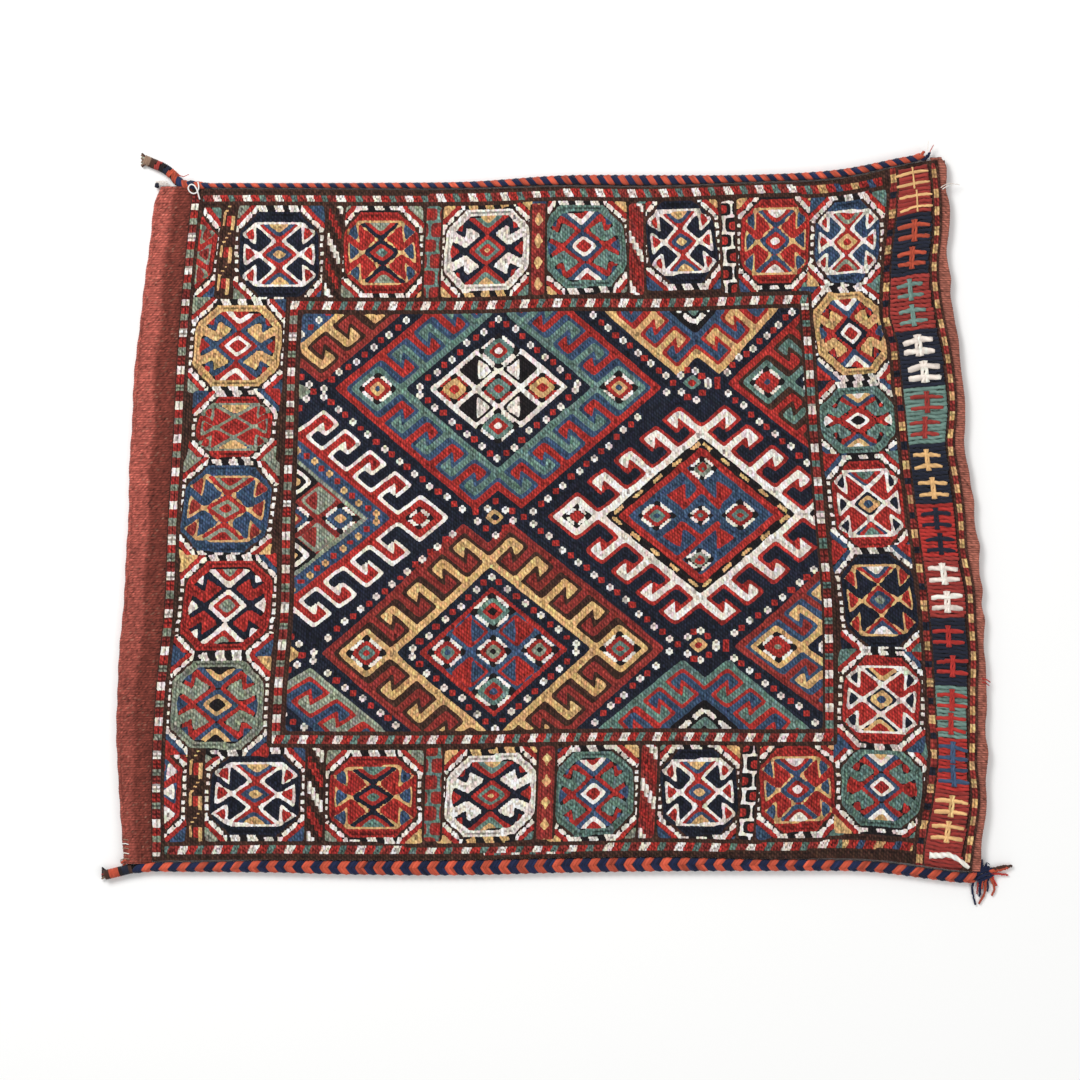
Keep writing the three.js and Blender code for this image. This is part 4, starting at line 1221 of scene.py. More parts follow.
@dataclass
class Field:
    """The field of hooked diamonds, with bands of small flowers between them."""

    chart: Chart

    def diamond(self, shape: HookedDiamond) -> None:
        """Draw one hooked diamond."""
        chart = self.chart
        p, q = chart.steps(shape.right, shape.down)
        far, near = reach_of(p, q), np.minimum(np.abs(p), np.abs(q))
        upright = p * q > 0
        body = (far < BODY_REACH) & ~(upright & (near > BODY_CUT))
        free = shape.style is DiamondStyle.FREE
        eye = (3.6, 4.3) if free else (4.6, 5.0)
        stems = stem_hooks(p, q, eye)
        if free:
            chart.paint(body, Yarn.NAVY)
            edged = np.zeros_like(stems)
            for dp in (-1, 0, 1):
                for dq in (-1, 0, 1):
                    edged |= stem_hooks(p + dp, q + dq, eye)
            chart.paint(edged & (far > FRAME[1]), shape.outline)
        else:
            chart.paint(body, shape.outline)
            chart.paint(body & ((far > BODY_REACH - 2) | (upright & (near > BODY_CUT - 2))), shape.outer)
            chart.paint(counter_hooks(p, q) & body, shape.outer)
        chart.paint(stems, shape.stem)
        for place in eyes(p, q):
            chart.paint(reach_of(*place) < eye[0] - 0.5, Yarn.INK)
            self.medallion(*place, 2.7 if free else 4.0, shape.eye[:1] if free else shape.eye)
        chart.paint(far < FRAME_INSIDE, shape.band)
        if shape.inside is Inside.FLOWERED:
            self.flowered(shape, p, q, far)
        elif shape.inside is Inside.DASHED:
            self.dashed(shape, p, q, far)
        else:
            chart.paint((np.abs(far - 16) < 0.8) & (near % 5.2 > 1.2), Yarn.IVORY, crisp=True)
            for reach, yarn in CREST_RINGS:
                chart.paint(far < reach, yarn)

    def medallion(self, dp: Array, dq: Array, size: float, yarns: Yarns,
                  dash: Yarn = Yarn.IVORY) -> None:
        """Draw a small diamond of nested yarns on dark ground, with a dash along each side.

        Args:
            dp: steps from its middle along the fall.
            dq: steps from its middle along the rise.
            size: half its width in steps.
            yarns: yarns from the outside in.
            dash: yarn of the four dashes.
        """
        chart = self.chart
        ring, least = reach_of(dp, dq), np.minimum(np.abs(dp - 0.2), np.abs(dq + 0.2))
        chart.paint(ring < size, Yarn.INK)
        chart.paint((ring < size) & (ring > size - 0.85) & (least < size * 0.54), dash, crisp=True)
        for index, yarn in enumerate(yarns):
            chart.paint(ring < (size - 1.2) * (1 - index / len(yarns)), yarn)

    def dashed(self, shape: HookedDiamond, p: Array, q: Array, far: Array) -> None:
        """Draw a band of dashes along the frame, and horns and medallions in the patch within it."""
        chart, centre = self.chart, (shape.right, shape.down)
        run = np.where(np.abs(p) > np.abs(q), q, p)
        chart.paint((np.abs(far - 17.3) < 0.52) & ((run + 2) % 7.4 < 3.4), shape.flower, crisp=True)
        chart.paint(far < 16.1, Yarn.RED)
        chart.paint(far < 14.1, shape.ground)
        for line in HORNS:
            chart.paint(chart.near(line, 6.4, centre) & (far < 14.6), Yarn.RED)
        for corners in BARBS:
            chart.paint(chart.inside(corners, centre), Yarn.RED)
        for right, down, size, yarns in MEDALLIONS:
            self.medallion(*chart.steps(shape.right + right, shape.down + down), size, yarns)

    def flowered(self, shape: HookedDiamond, p: Array, q: Array, far: Array) -> None:
        """Draw the nine cells inside a diamond's flowered band."""
        chart = self.chart
        if shape.lattice is None:
            return
        chart.paint(far < 14.2, shape.ground)
        a, b = p / CELL_PITCH, q / CELL_PITCH
        line = (np.abs(np.abs(p) - CELL_PITCH / 2) < 0.7) | (np.abs(np.abs(q) - CELL_PITCH / 2) < 0.7)
        open_end = (p * q > 0) & (np.minimum(np.abs(a), np.abs(b)) > 0.58)
        chart.paint((far < 13.8) & (line | (far > 12.4)) & ~open_end, shape.lattice)
        if shape.frame:
            chart.paint((far < 14.0) & (far > 12.9), shape.frame)
        for right, down, cell in shape.cells:
            dp, dq = p - right * CELL_PITCH, q - down * CELL_PITCH
            ring = reach_of(dp, dq)
            if cell.rings:
                self.medallion(dp, dq, 4.4 if right == down != 0 else 3.8, cell.rings, cell.dash)
            if cell.left and cell.right:
                chart.paint(ring < 3.6, cell.edge)
                chart.paint((ring < 2.9) & (dq - dp < -0.3), cell.left)
                chart.paint((ring < 2.9) & (dq - dp > 0.3), cell.right)

    def ring_of_flowers(self, shape: HookedDiamond) -> None:
        """Draw the flowers along a diamond's frame, each of whole beads however the diamond leans."""
        for down, side, k in ((down, side, k) for down in (-1, 1) for side in (-1, 1) for k in range(11)):
            reach = FLOWER_REACH - k * FLOWER_PITCH
            fall, rise = (FLOWER_REACH, reach) if side * down < 0 else (reach, FLOWER_REACH)
            x, y = 3 * (rise - fall) * down, 2.5 * (rise + fall) * down
            place = (shape.right + shape.warp[0] * x + shape.warp[1] * y,
                     shape.down + shape.warp[2] * x + shape.warp[3] * y)
            if k % 2:
                self.dot(*place)
            else:
                self.flower(*place, shape.flower)

    def flower(self, right: float, down: float, yarn: Yarn = Yarn.IVORY) -> None:
        """Draw one flower of four beads, at the nearest place where four meet."""
        chart = self.chart
        column = int(right / chart.stitch)
        half = column % 2 * chart.row / 2
        level = round((down + half) / chart.row) * chart.row - half
        beads, drop = np.abs(chart.u // chart.stitch - column), np.abs(chart.v - level)
        where = (beads == 0) & (drop < chart.row) | (beads == 1) & (drop < chart.row / 2)
        chart.paint(where, yarn, crisp=True)
        # Painted shade where the four beads meet
        heart = (np.abs(chart.u - (column + 0.5) * chart.stitch) < 1.7) & (drop < 1.4)
        chart.shade[where & heart] = 0.4

    def dot(self, right: float, down: float) -> None:
        """Draw one red dot."""
        chart = self.chart
        chart.paint((np.abs(chart.u - right) < 3.9) & (np.abs(chart.v - down) < 3.7), Yarn.RED, crisp=True)

    def flower_bands(self) -> None:
        """Draw the flowers and the dots between them along every band, and where bands cross."""
        for (x0, y0), (x1, y1), count in FLOWER_BANDS:
            for k in range(2 * count - 1):
                share = k / (2 * count - 2)
                (self.dot if k % 2 else self.flower)(x0 + (x1 - x0) * share, y0 + (y1 - y0) * share)
        for (x, y), ring, heart, whites, reds in CROSSINGS:
            size = reach_of(*self.chart.steps(x, y))
            self.chart.paint(size < 2.0, ring)
            self.chart.paint(size < 1.1, heart)
            for place in whites:
                self.flower(*place)
            for place in reds:
                self.dot(*place)

    def draw(self) -> None:
        """Draw the whole field, and clip it to its window."""
        chart = self.chart
        layers = (chart.yarn, chart.crisp, chart.shade)
        kept = [layer.copy() for layer in layers]
        window = chart.box(*FIELD_WINDOW)
        chart.shade[window] = 1
        chart.paint(window, Yarn.NAVY)
        for shape in DIAMONDS:
            Field(chart.warped(shape.right, shape.down, shape.warp)).diamond(shape)
            if shape.inside is Inside.FLOWERED:
                self.ring_of_flowers(shape)
        self.flower_bands()
        for layer, old in zip(layers, kept):
            layer[~window] = old[~window]


COMBED, FREE = DiamondStyle.COMBED, DiamondStyle.FREE
STAR = (
    (1, -1, nest(G, R, dash=R)), (-1, 1, nest(G, R, dash=R)), (0, 0, nest(T, R, dash=R)),
    (-1, -1, nest(T, R, W)), (1, 1, nest(T, R, W)), (0, -1, halves(I, W)), (1, 0, halves(I, W)),
    (-1, 0, halves(W, I)), (0, 1, halves(W, I)))
RINGS = (
    (1, -1, nest(R, T, B)), (-1, 1, nest(R, S, I)), (0, 0, nest(R, S, I)), (-1, -1, nest(T, R, I)),
    (1, 1, nest(T, R, B)), (0, -1, halves(R, B, R)), (1, 0, halves(R, B, R)), (-1, 0, halves(B, R, R)),
    (0, 1, halves(B, R, R)))
CUT = (
    (-1, 1, nest(B, G)), (0, 0, nest(B, K, G)), (0, 1, halves(K, S, S)), (-1, 0, halves(K, S, S)),
    (-1, -1, nest(W, I, G, dash=I)), (1, 1, nest(W, I, G, dash=I)))
DIAMONDS: tuple[HookedDiamond, ...] = (
    HookedDiamond(159, 88, COMBED, K, D, G, (R, T, R), B, W, warp=(1.065, -.076, -.09, 1.057)),
    HookedDiamond(634, 83, COMBED, G, R, B, (R, T, R), I, W, inside=Inside.CREST,
                  warp=(.924, .03, -.021, 1.035)),
    HookedDiamond(860.5, 238, COMBED, R, D, T, (R, R, B), N, W, T, R, warp=(.963, .006, 0, .992)),
    HookedDiamond(859, 556, COMBED, K, B, G, (R, R, S), N, W, G, R, warp=(1, .088, .01, .985)),
    HookedDiamond(154, 716, COMBED, S, R, B, (R, T, R), N, W, S, B, warp=(1.125, .057, .134, 1.027)),
    HookedDiamond(631, 710, COMBED, T, R, B, (R, T, R), I, W, inside=Inside.CREST, warp=(.96, 0, 0, 1.005)),
    HookedDiamond(151, 397, FREE, N, W, R, (R, K, R), B, G, K, K, CUT, warp=(1.027, -.022, -.007, 1.015),
                  frame=S),
    HookedDiamond(632, 396.5, FREE, N, R, W, (R, R, R), I, G, R, B, inside=Inside.DASHED,
                  warp=(1.019, -.07, -.003, 1.023)),
    HookedDiamond(394, 241, COMBED, R, B, T, (R, G, B), N, W, W, N, STAR, warp=(1.022, -.016, .007, 1.039)),
    HookedDiamond(386, 557.5, COMBED, K, D, G, (R, T, R), N, W, B, B, RINGS, warp=(1.018, .057, -.006, 1.11),
                  frame=R),
)
# Each band of flowers: its two ends on the chart, and how many flowers it has
FLOWER_BANDS = (
    ((563.6, 278.4), (433.6, 389.6), 8), ((198.9, 265), (349.3, 385.9), 9),
    ((280.2, 158.8), (200.2, 222.1), 5), ((512.7, 156), (598.8, 228.4), 6),
    ((758.2, 154.3), (672.1, 223.9), 6), ((672.1, 250.7), (763.6, 333.8), 6),
    ((337.9, 413.2), (194.5, 537.9), 9), ((432.9, 405.2), (589.5, 543.6), 10),
    ((196.8, 583.2), (278.9, 644.8), 5), ((573.4, 578.4), (506.4, 643.2), 5),
    ((761.4, 463.2), (663.2, 538.8), 6), ((663.6, 565.9), (757.3, 642.7), 6),
)
# Each crossing of bands: its middle, its two yarns, and the white flowers and red dots round it
CROSSINGS = (
    ((630, 237), T, R,
     ((599, 229), (598, 245), (617, 229), (616, 245), (634, 221), (633, 256), (649, 233), (649, 241)),
     ((607, 237), (625, 222), (642, 228), (642, 248), (624, 253), (661, 233), (661, 241))),
    ((623, 552.5), G, R,
     ((589.5, 544.5), (590, 562), (609, 544.5), (609, 561), (625, 534), (626, 572), (642.5, 548),
      (642.5, 557)),
     ((599, 552.5), (617, 535.5), (634, 542), (618, 569), (635, 563), (654.6, 548), (654.6, 557))),
    ((388, 396), G, N, ((379, 385), (400, 385), (409, 402), (388, 416), (368, 401)),
     ((389, 377.5), (409, 390), (377, 408), (400, 409), (422.5, 397), (365, 390))),
    ((153, 244), S, S, ((162, 233), (161, 254), (181, 238), (181, 249)),
     ((153, 227), (169, 244), (190.5, 229), (190.5, 256), (152, 263))),
    ((151, 560.5), G, G, ((159, 549), (159, 572), (178, 556), (178, 566)),
     ((151, 540), (165, 561), (151, 580))),
)


# Woven pieces


@dataclass
class WrappedPattern:
    """The front's wrapped pattern, made stitch by stitch: each stitch is a bead with its own crest."""

    chart: Chart
    panel: Panel
    crest: float = 1.35
    groove: float = 0.3
    edge: float = 0.0
    seat: float = 0.4
    crest_change: float = 0.3
    jitter: float = 0.2
    seam_drop: float = 0.25
    seam_shade: float = 0.7
    cord_shade: float = 0.55
    # Painted light and shade on a bead: crest, groove, side of the crest, side of the groove; then crest and
    # groove of straight rows
    bead_shades: Four = (1.3, 0.5, 0.46, 0.36)
    straight_shades: Pair = (1.08, 0.55)
    pit_share: float = 0.06
    pit_shade: float = 0.45
    ease: Pair = (0.95, 1.5)
    crisp_ease: float = 0.3
    right_cuts: tuple[int, ...] = (0, 100, 306, 512, 630)
    down_cuts: tuple[int, ...] = (0, 60, 160, 262, 323)

    def eased(self) -> tuple[Array, Array]:
        """Grid places with the steps between two yarns drawn out into even lines.

        Returns:
            Places right and down the chart, and which of them lie between two yarns.
        """
        chart = self.chart
        k, line = np.meshgrid(np.arange(chart.rows + 1), np.arange(chart.columns + 1), indexing="ij")
        start = np.dstack([line * chart.stitch / 2, k * chart.height / chart.rows])
        across, down = np.zeros(k.shape, dtype=bool), np.zeros(k.shape, dtype=bool)
        across[1:-1, :-1] = np.diff(chart.yarn.T, axis=0) != 0
        down[:-1, 1:-1] = np.diff(chart.yarn.T, axis=1) != 0
        ways = ((-1, 1, across), (1, 1, np.roll(across, 1, 1)), (-1, 0, down), (1, 0, np.roll(down, 1, 0)))
        count = sum(seam.astype(int) for _, _, seam in ways)
        inner = np.zeros(k.shape, dtype=bool)
        inner[1:-1, 1:-1] = True
        cells = np.pad(chart.crisp.T, 1)
        crisp = cells[:-1, :-1] | cells[1:, :-1] | cells[:-1, 1:] | cells[1:, 1:]
        ease = np.where(crisp[..., None], self.crisp_ease, 1.0) * np.array(self.ease)
        place = start.copy()
        for _ in range(8):
            mean = sum(np.roll(place, step, axis) * seam[..., None] for step, axis, seam in ways) / 2
            moved = start + np.clip(place + 0.5 * (mean - place) - start, -ease, ease)
            place = np.where((inner & (count == 2))[..., None], moved, place)
        for _ in range(3):
            mean = sum(np.roll(place, step, axis) for step, axis, _ in ways) / 4
            place = np.where((inner & (count == 0))[..., None], (place + mean) / 2, place)
        return place, count > 0

    def surface(self) -> tuple[Array, Array]:
        """Vertices of the whole pattern, and the painted light and shade of each: bright on a bead's crest,
        dark in its groove.

        Returns:
            Points on the grid of half stitches, and a shade for each.
        """
        chart, rng = self.chart, np.random.default_rng(7)
        lines, downs = chart.columns + 1, chart.rows + 1
        k, line = np.meshgrid(np.arange(downs), np.arange(lines), indexing="ij")
        column = np.minimum(line, chart.columns - 1)
        straight = chart.straight[column, 0]
        top = (k - chart.half[column, 0]) % 2 == 1
        middle = line % 2 == 1
        high = np.where(middle, np.where(top, self.crest, self.groove), self.edge)
        high = np.where(straight, np.where(top, self.crest * 0.9, self.edge), high)
        crest, groove, crest_side, groove_side = self.bead_shades
        shade = np.where(middle, np.where(top, crest, groove), np.where(top, crest_side, groove_side))
        shade = np.where(straight, np.where(top, *self.straight_shades), shade)
        high = high + np.where(top & middle, rng.normal(0, self.crest_change, k.shape), 0)
        place, seam = self.eased()
        high = np.where(seam, np.minimum(high, self.groove) - self.seam_drop, high)
        shade = np.where(seam, np.maximum(shade, 0.75) * self.seam_shade, shade)
        shade = shade * np.where(rng.random(k.shape) < self.pit_share, self.pit_shade, 1.0)
        right = place[..., 0] + rng.normal(0, self.jitter, k.shape) * (line > 0) * (line < lines - 1)
        below = place[..., 1] + rng.normal(0, self.jitter, k.shape) * (k > 0) * (k < downs - 1)
        flat = self.panel.chart(right, below)
        lie = self.panel.lie(flat[..., 0], flat[..., 1], below / chart.height)
        return np.dstack([flat, self.panel.front_top - self.seat + high + lie]), shade

    def dye_and_shade(self) -> Array:
        """Linear yarn colour of each half stitch, its lots changing by rows and from stitch to stitch, times
        painted shade.
        """
        chart, rng = self.chart, np.random.default_rng(11)
        lot = (np.sin(chart.v / 31 + chart.yarn * 1.9)
               + 0.7 * np.sin(chart.v / 11.5 + chart.yarn * 0.7 + chart.u / 300))
        line, k = np.meshgrid(np.arange(chart.columns), np.arange(chart.rows), indexing="ij")
        stitch = (line // 2, (k + chart.half) // 2)
        table = rng.normal(0, 0.2, (chart.columns // 2 + 1, chart.rows // 2 + 2))
        warm = rng.normal(0, 0.06, (*table.shape, 3))
        deep = chart.depth()
        # Painted shade: a dark seam down the middle of each wide stroke, between its two cords
        cord = (deep > 3.1) & (deep < 4.3) & (rng.random(table.shape)[stitch] < 0.6) & ~chart.straight
        cord_seam_shade = np.where(cord, self.cord_shade, 1.0)
        # Random tone by rows and from stitch to stitch, times the painted shade of the chart and of the cord
        # seams
        tone = np.maximum(1 + table[stitch] + 0.07 * lot, 0.3) * chart.shade * cord_seam_shade
        return np.clip(YARN_LINEAR[chart.yarn] * tone[..., None] * (1 + warm[stitch]), 0, 1)

    def build(self) -> list[Piece]:
        """Make the pattern in windows, each one piece."""
        points, shade = self.surface()
        dye_and_shade = self.dye_and_shade()
        pieces = []
        for row, (low, high) in enumerate(zip(self.down_cuts, self.down_cuts[1:])):
            edge_row = row in (0, len(self.down_cuts) - 2)
            cuts = (self.right_cuts[0], self.right_cuts[-1]) if edge_row else self.right_cuts
            for place, (left, right) in enumerate(zip(cuts, cuts[1:])):
                part = points[low:high + 1, left:right + 1]
                faces = grid_faces(high - low + 1, right - left + 1)
                k, line = np.meshgrid(np.arange(low, high), np.arange(left, right), indexing="ij")
                soft = YARN_SHADOW[self.chart.yarn[line, k]].reshape(-1, 1)
                corner_shade = shade[low:high + 1, left:right + 1].ravel()[faces] ** soft
                colours = dye_and_shade[line, k].reshape(-1, 1, 3) * corner_shade[..., None]
                pieces.append(mesh_piece(f"wrapped_pattern_{row + 1}_{place + 1}", part.reshape(-1, 3), faces,
                                         colours.reshape(-1, 3), WRAPPED_WOOL, flat_map=True))
        return pieces


@dataclass
class PlainWeave:
    """The plain-woven cloth: the folded ground, the band at the fold and the hem of the mouth."""

    panel: Panel
    rib_height: float = 0.35
    under_share: float = 0.5
    back_rest: float = 0.3
    skin: float = 0.7
    ground_rows: int = 168
    front_steps: int = 40
    back_steps: int = 110
    tuck: Pair = (14.0, 12.0)

    def ribbed(self, name: str, profile: Callable[[float], Array], step: float,
               tone: Callable[[Array, Array, np.random.Generator], Array], seed: int, groove: float,
               rib: float) -> Piece:
        """Make a band of ribbed cloth.

        Args:
            name: the piece's name.
            profile: section through the band at a share from top to bottom: x, y and z along it.
            step: spacing along the section.
            tone: linear colour from the share along the section and the place down it.
            seed: seed of its unevenness.
            groove: the painted shade between two ribs, as a share of full brightness.
            rib: spacing of the ribs.

        Returns:
            The new object.
        """
        rng = np.random.default_rng(seed)
        rows = round(self.panel.height / rib * 2) + 1
        sections = [profile(share) for share in np.linspace(0, 1, rows)]
        count = round(np.linalg.norm(np.diff(sections[0], axis=0), axis=1).sum() / step)
        points = np.stack([even_count(section, count) for section in sections])
        along = np.gradient(points, axis=1)
        normal = unit(np.stack([-along[..., 2], np.zeros(points.shape[:2]), along[..., 0]], axis=-1))
        k, i = np.meshgrid(np.arange(rows), np.arange(points.shape[1]), indexing="ij")
        over = (i + k // 2) % 2 == 0
        high = np.where(k % 2 == 1, self.rib_height * np.where(over, 1.0, self.under_share), 0)
        high = high + rng.normal(0, 0.05, k.shape)
        points = points - normal * high[..., None] * np.sign(normal[:, :1, 2:3])
        share = i / (points.shape[1] - 1)
        # Painted light and shade of the weave: lighter where a rib passes over, darker where it passes under
        # and in the grooves, times a random tone
        rib_shade_and_tone = np.where(k % 2 == 1, np.where(over, 1.2, 0.95), groove) * (1 + rng.normal(0, 0.3, k.shape))
        colours = tone(share, k / (rows - 1), rng) * rib_shade_and_tone[..., None]
        return mesh_piece(name, points.reshape(-1, 3), grid_faces(rows, points.shape[1]),
                          np.clip(colours, 0, 1).reshape(-1, 3), PLAIN_WOOL)

    def fold_section(self, down: float) -> Array:
        """Section through the band at the fold, from the pattern round to the underside."""
        panel = self.panel
        share = np.array(down)
        x, y = panel.fold(share)
        y = y + 3.6 * float(1 - smooth(share / 0.03) - smooth((share - 0.97) / 0.03))
        radius = panel.front_top / 2
        wide = float(x - panel.turn(share))
        band = np.linspace(0.6, -wide, 14)
        dip = panel.lie(x + band, np.full_like(band, y), np.full_like(band, down)) * smooth(1 + band / wide)
        wander = 0.7 + 0.6 * math.sin(down * 19) + 0.5 * math.sin(down * 47 + 1) + 0.4 * math.sin(down * 170)
        turn = np.linspace(0.12, 1, 9)[1:] * math.pi
        round_x = x - wide - (radius + wander) * np.sin(turn)
        round_z = radius + (radius - 0.2) * np.cos(turn)
        section = np.concatenate([x + band, round_x, [x - wide + self.tuck[0]]])
        height = np.concatenate([panel.front_top - 0.3 + dip, round_z, [0.2]])
        return np.column_stack([section, np.full_like(section, y), height])

    def fold_tone(self, share: Array, down: Array, rng: np.random.Generator) -> Array:
        """Colours of the fold band: rust beside the pattern, salmon towards the fold, pale flecks between,
        painted shade at the pattern's edge.
        """
        rust, salmon, straw = (YARN_LINEAR[YARN_INDEX[yarn]] for yarn in (Yarn.RUST, Yarn.SALMON, Yarn.STRAW))
        edge = smooth((share - 0.27 + 0.02 * np.sin(down * 40)) / 0.09)
        mix = (edge * (1 - 0.5 * smooth((down - 0.5) / 0.3)))[..., None]
        colour = (rust * (1 - mix) + salmon * mix) * (1 + rng.normal(0, 0.16, share.shape))[..., None]
        fleck = (rng.random(share.shape) < 0.03) & (share < 0.6)
        colour[fleck] = colour[fleck] * 0.6 + straw * 0.4
        # Painted shade: darker in the first tenth of the section, beside the pattern
        return colour * (0.7 + 0.3 * smooth(share / 0.1))[..., None]

    def hem_section(self, down: float) -> Array:
        """Section through the hem, from the pattern round its edge to the inside."""
        panel = self.panel
        slid = 1.04 * float(panel.bow(panel.mouth_sway, np.array(down)))
        x, y = panel.mouth(np.array(down)) + np.array([slid, 0])
        y = y + 4 * float(1 - smooth(np.array(down / 0.02)))
        width = panel.hem(down) - 2.2 - slid - 6 * float(1 - smooth(np.array(down / 0.012)))
        low = panel.front_top - panel.front_thickness
        band = np.linspace(-0.6, width, 8)
        lie = panel.lie(x + band, np.full_like(band, y), np.full_like(band, down))
        turn = np.linspace(0, math.pi, 7)[1:]
        half = (panel.front_top - 0.2 - low) / 2
        section = np.concatenate([x + band, x + width + half * np.sin(turn), [x + width - self.tuck[1]]])
        height = np.concatenate([panel.front_top - 0.2 + lie, low + half + half * np.cos(turn) + lie[-1],
                                 [low + lie[-1]]])
        return np.column_stack([section, np.full_like(section, y), height])

    def hem_tone(self, share: Array, down: Array, rng: np.random.Generator) -> Array:
        """Colours of the hem: brick red, a little lighter on the fold of its edge, with painted shade beside
        the pattern.
        """
        brick = linear(Yarn.HEM.value)
        lighter = 0.85 + 0.2 * smooth(share / 0.4) + 0.05 * np.sin(down * 70)
        # Painted shade: darker in the first tenth of the section, beside the pattern
        return brick * (lighter * (0.4 + 0.6 * smooth(share / 0.1)))[..., None]

    def ground(self) -> Piece:
        """Make the folded ground cloth: one closed shell round the front, the fold and the back."""
        panel = self.panel
        downs = np.linspace(0, 1, self.ground_rows)
        shares = np.concatenate([np.linspace(1, 0, self.front_steps), np.linspace(0, 1, self.back_steps)])
        front, radius = self.front_steps, panel.front_top / 2
        turn = np.linspace(0, math.pi, 9)[1:-1]
        rings = []
        for down in downs:
            flat = panel.point(shares, np.full(len(shares), down))
            lie = panel.lie(flat[:, 0], flat[:, 1], np.full(len(shares), down))
            hem = np.array([panel.hem(down) - 2.5, 0, 0])
            x, y = panel.turn(np.array(down)), panel.fold(np.array(down))[1]
            loops = []
            for depth, thick in ((self.skin, self.skin), (panel.back_thickness, panel.front_thickness)):
                tight, over = radius - depth, panel.front_top - thick
                under = depth - self.skin + self.back_rest
                bend = np.column_stack([x - tight * np.sin(turn), np.full_like(turn, y),
                                        radius + tight * np.cos(turn)])
                above = np.column_stack([flat[:front], over + lie[:front]])
                below = np.column_stack([flat[front:], np.full(self.back_steps, under)])
                loops.append(np.vstack([above[0] + hem, above, [x, y, over], bend, [x, y, under], below,
                                        below[-1] + hem]))
            rings.append(np.vstack([loops[0], loops[1][::-1]]))
        points = np.stack(rings)
        loop = points.shape[1]
        table = np.arange(len(downs))[:, None] * loop + np.append(np.arange(loop), 0)[None, :]
        faces = np.stack([table[:-1, :-1], table[1:, :-1], table[1:, 1:], table[:-1, 1:]], -1).reshape(-1, 4)
        i = np.arange(loop // 2 - 1)
        cap = np.stack([i, i + 1, loop - 2 - i, loop - 1 - i], axis=1)
        faces = np.vstack([faces, cap, cap[:, ::-1] + (len(downs) - 1) * loop])[:, ::-1]
        rng = np.random.default_rng(5)
        rust = YARN_LINEAR[YARN_INDEX[Yarn.RUST]]
        change = 0.1 * np.sin(points[..., 1] / 37) + rng.normal(0, 0.05, points.shape[:2])
        tone = rust * (1 + change)[..., None]
        return mesh_piece("ground_cloth", points.reshape(-1, 3), faces, np.clip(tone, 0, 1).reshape(-1, 3),
                          PLAIN_WOOL)


# Braids and loose ends


@dataclass
class Plait:
    """A plaited braid: two rows of leaning lobes, of three swelling yarns each, round a dark core."""

    name: str
    node: str
    path: Array
    widths: Array
    pitch: float
    roll: Callable[[float], float]
    bands: tuple[tuple[float, Yarn], ...]
    thick: float = 12.5
    yarns: Yarns = (Yarn.ORANGE, Yarn.INDIGO)
    lean: float = 0.62
    reach: float = 2.3
    bare_end: float = 9.0
    binding: float = 1.25
    binding_inset: float = 1.3

    def build(self) -> Piece:
        """Make the braid as one piece."""
        soup, rng = Soup(), np.random.default_rng(len(self.name))
        known = run_along(self.path)
        path = even_steps(self.path, 1.0)
        run = np.linspace(0, known[-1], len(path))
        wide = np.interp(run, known, self.widths)
        along = unit(np.gradient(path, axis=0))
        side = np.stack([-along[:, 1], along[:, 0], np.zeros(len(path))], axis=1)
        lobe = self.pitch / 2
        body = lobe / 6 * 1.15
        core = slice(2, -int(self.bare_end), 5)
        add_strand(soup, path[core], (wide / 2 - body)[core], linear(Yarn.INK.value), sides=10,
                   flatten=0.8 * (self.thick / 2 - body) / float(wide.max() / 2 - body))

        def wound(place: Array, half_w: Array | float, half_h: Array | float, angle: Array) -> Array:
            """Points wound round the braid at places along it."""
            out = read_along(place, run, side) * (half_w * np.cos(angle))[:, None]
            points = read_along(place, run, path) + out
            points[:, 2] += half_h * np.sin(angle)
            return points

        bound = 0.0
        for length, yarn in self.bands:
            place = np.arange(bound, bound + length, 0.2)
            angle = (place + rng.normal(0, 0.03, len(place))) * math.pi
            half_w = np.interp(place, run, wide) / 2 - self.binding_inset
            points = wound(place, half_w, self.thick / 2 - self.binding_inset, angle)
            tone = linear(yarn.value) * (1 + rng.normal(0, 0.1, (len(place), 1)))
            add_strand(soup, points, self.binding, tone, sides=6)
            bound += length
        share = np.linspace(-0.06, 1.02, 11)
        belly = np.sin((0.25 + 0.75 * np.clip(share, 0, 1)) * math.pi)
        for index in range(int(bound / lobe), int((run[-1] - self.bare_end) / lobe)):
            start = index * lobe + lobe / 2
            turned = self.roll(start / run[-1])
            half_w = float(np.interp(start, run, wide)) / 2 - body * 0.9
            half_h = self.thick / 2 - body
            colour = linear(self.yarns[index % len(self.yarns)].value) * (1 + rng.normal(0, 0.1))
            for row in (1, -1):
                angle = math.pi / 2 + turned + row * self.reach * share
                for strand in (-1, 0, 1):
                    spread = strand * lobe / 3.1 * (0.4 + 0.62 * belly)
                    place = start + spread + self.lean * 15 * np.clip(share, 0, 1)
                    place = np.clip(place + rng.normal(0, 0.15), 0, run[-1])
                    swell = 0.78 + 0.2 * belly + (0.12 * belly if strand == 0 else 0)
                    points = wound(place, half_w * swell, half_h * swell, angle)
                    shade = np.clip(colour * (1 + rng.normal(0, 0.17)), 0, 1) * (0.55 + 0.5 * belly)[:, None]
                    add_strand(soup, points, body * (0.5 + 0.55 * belly ** 0.7), shade, sides=6)
        piece = soup.piece(self.name, PLAITED_WOOL, "plaited_braid")
        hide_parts(self.node)
        return piece


Strand = tuple[Yarn, float, tuple[tuple[float, float, float], ...]]
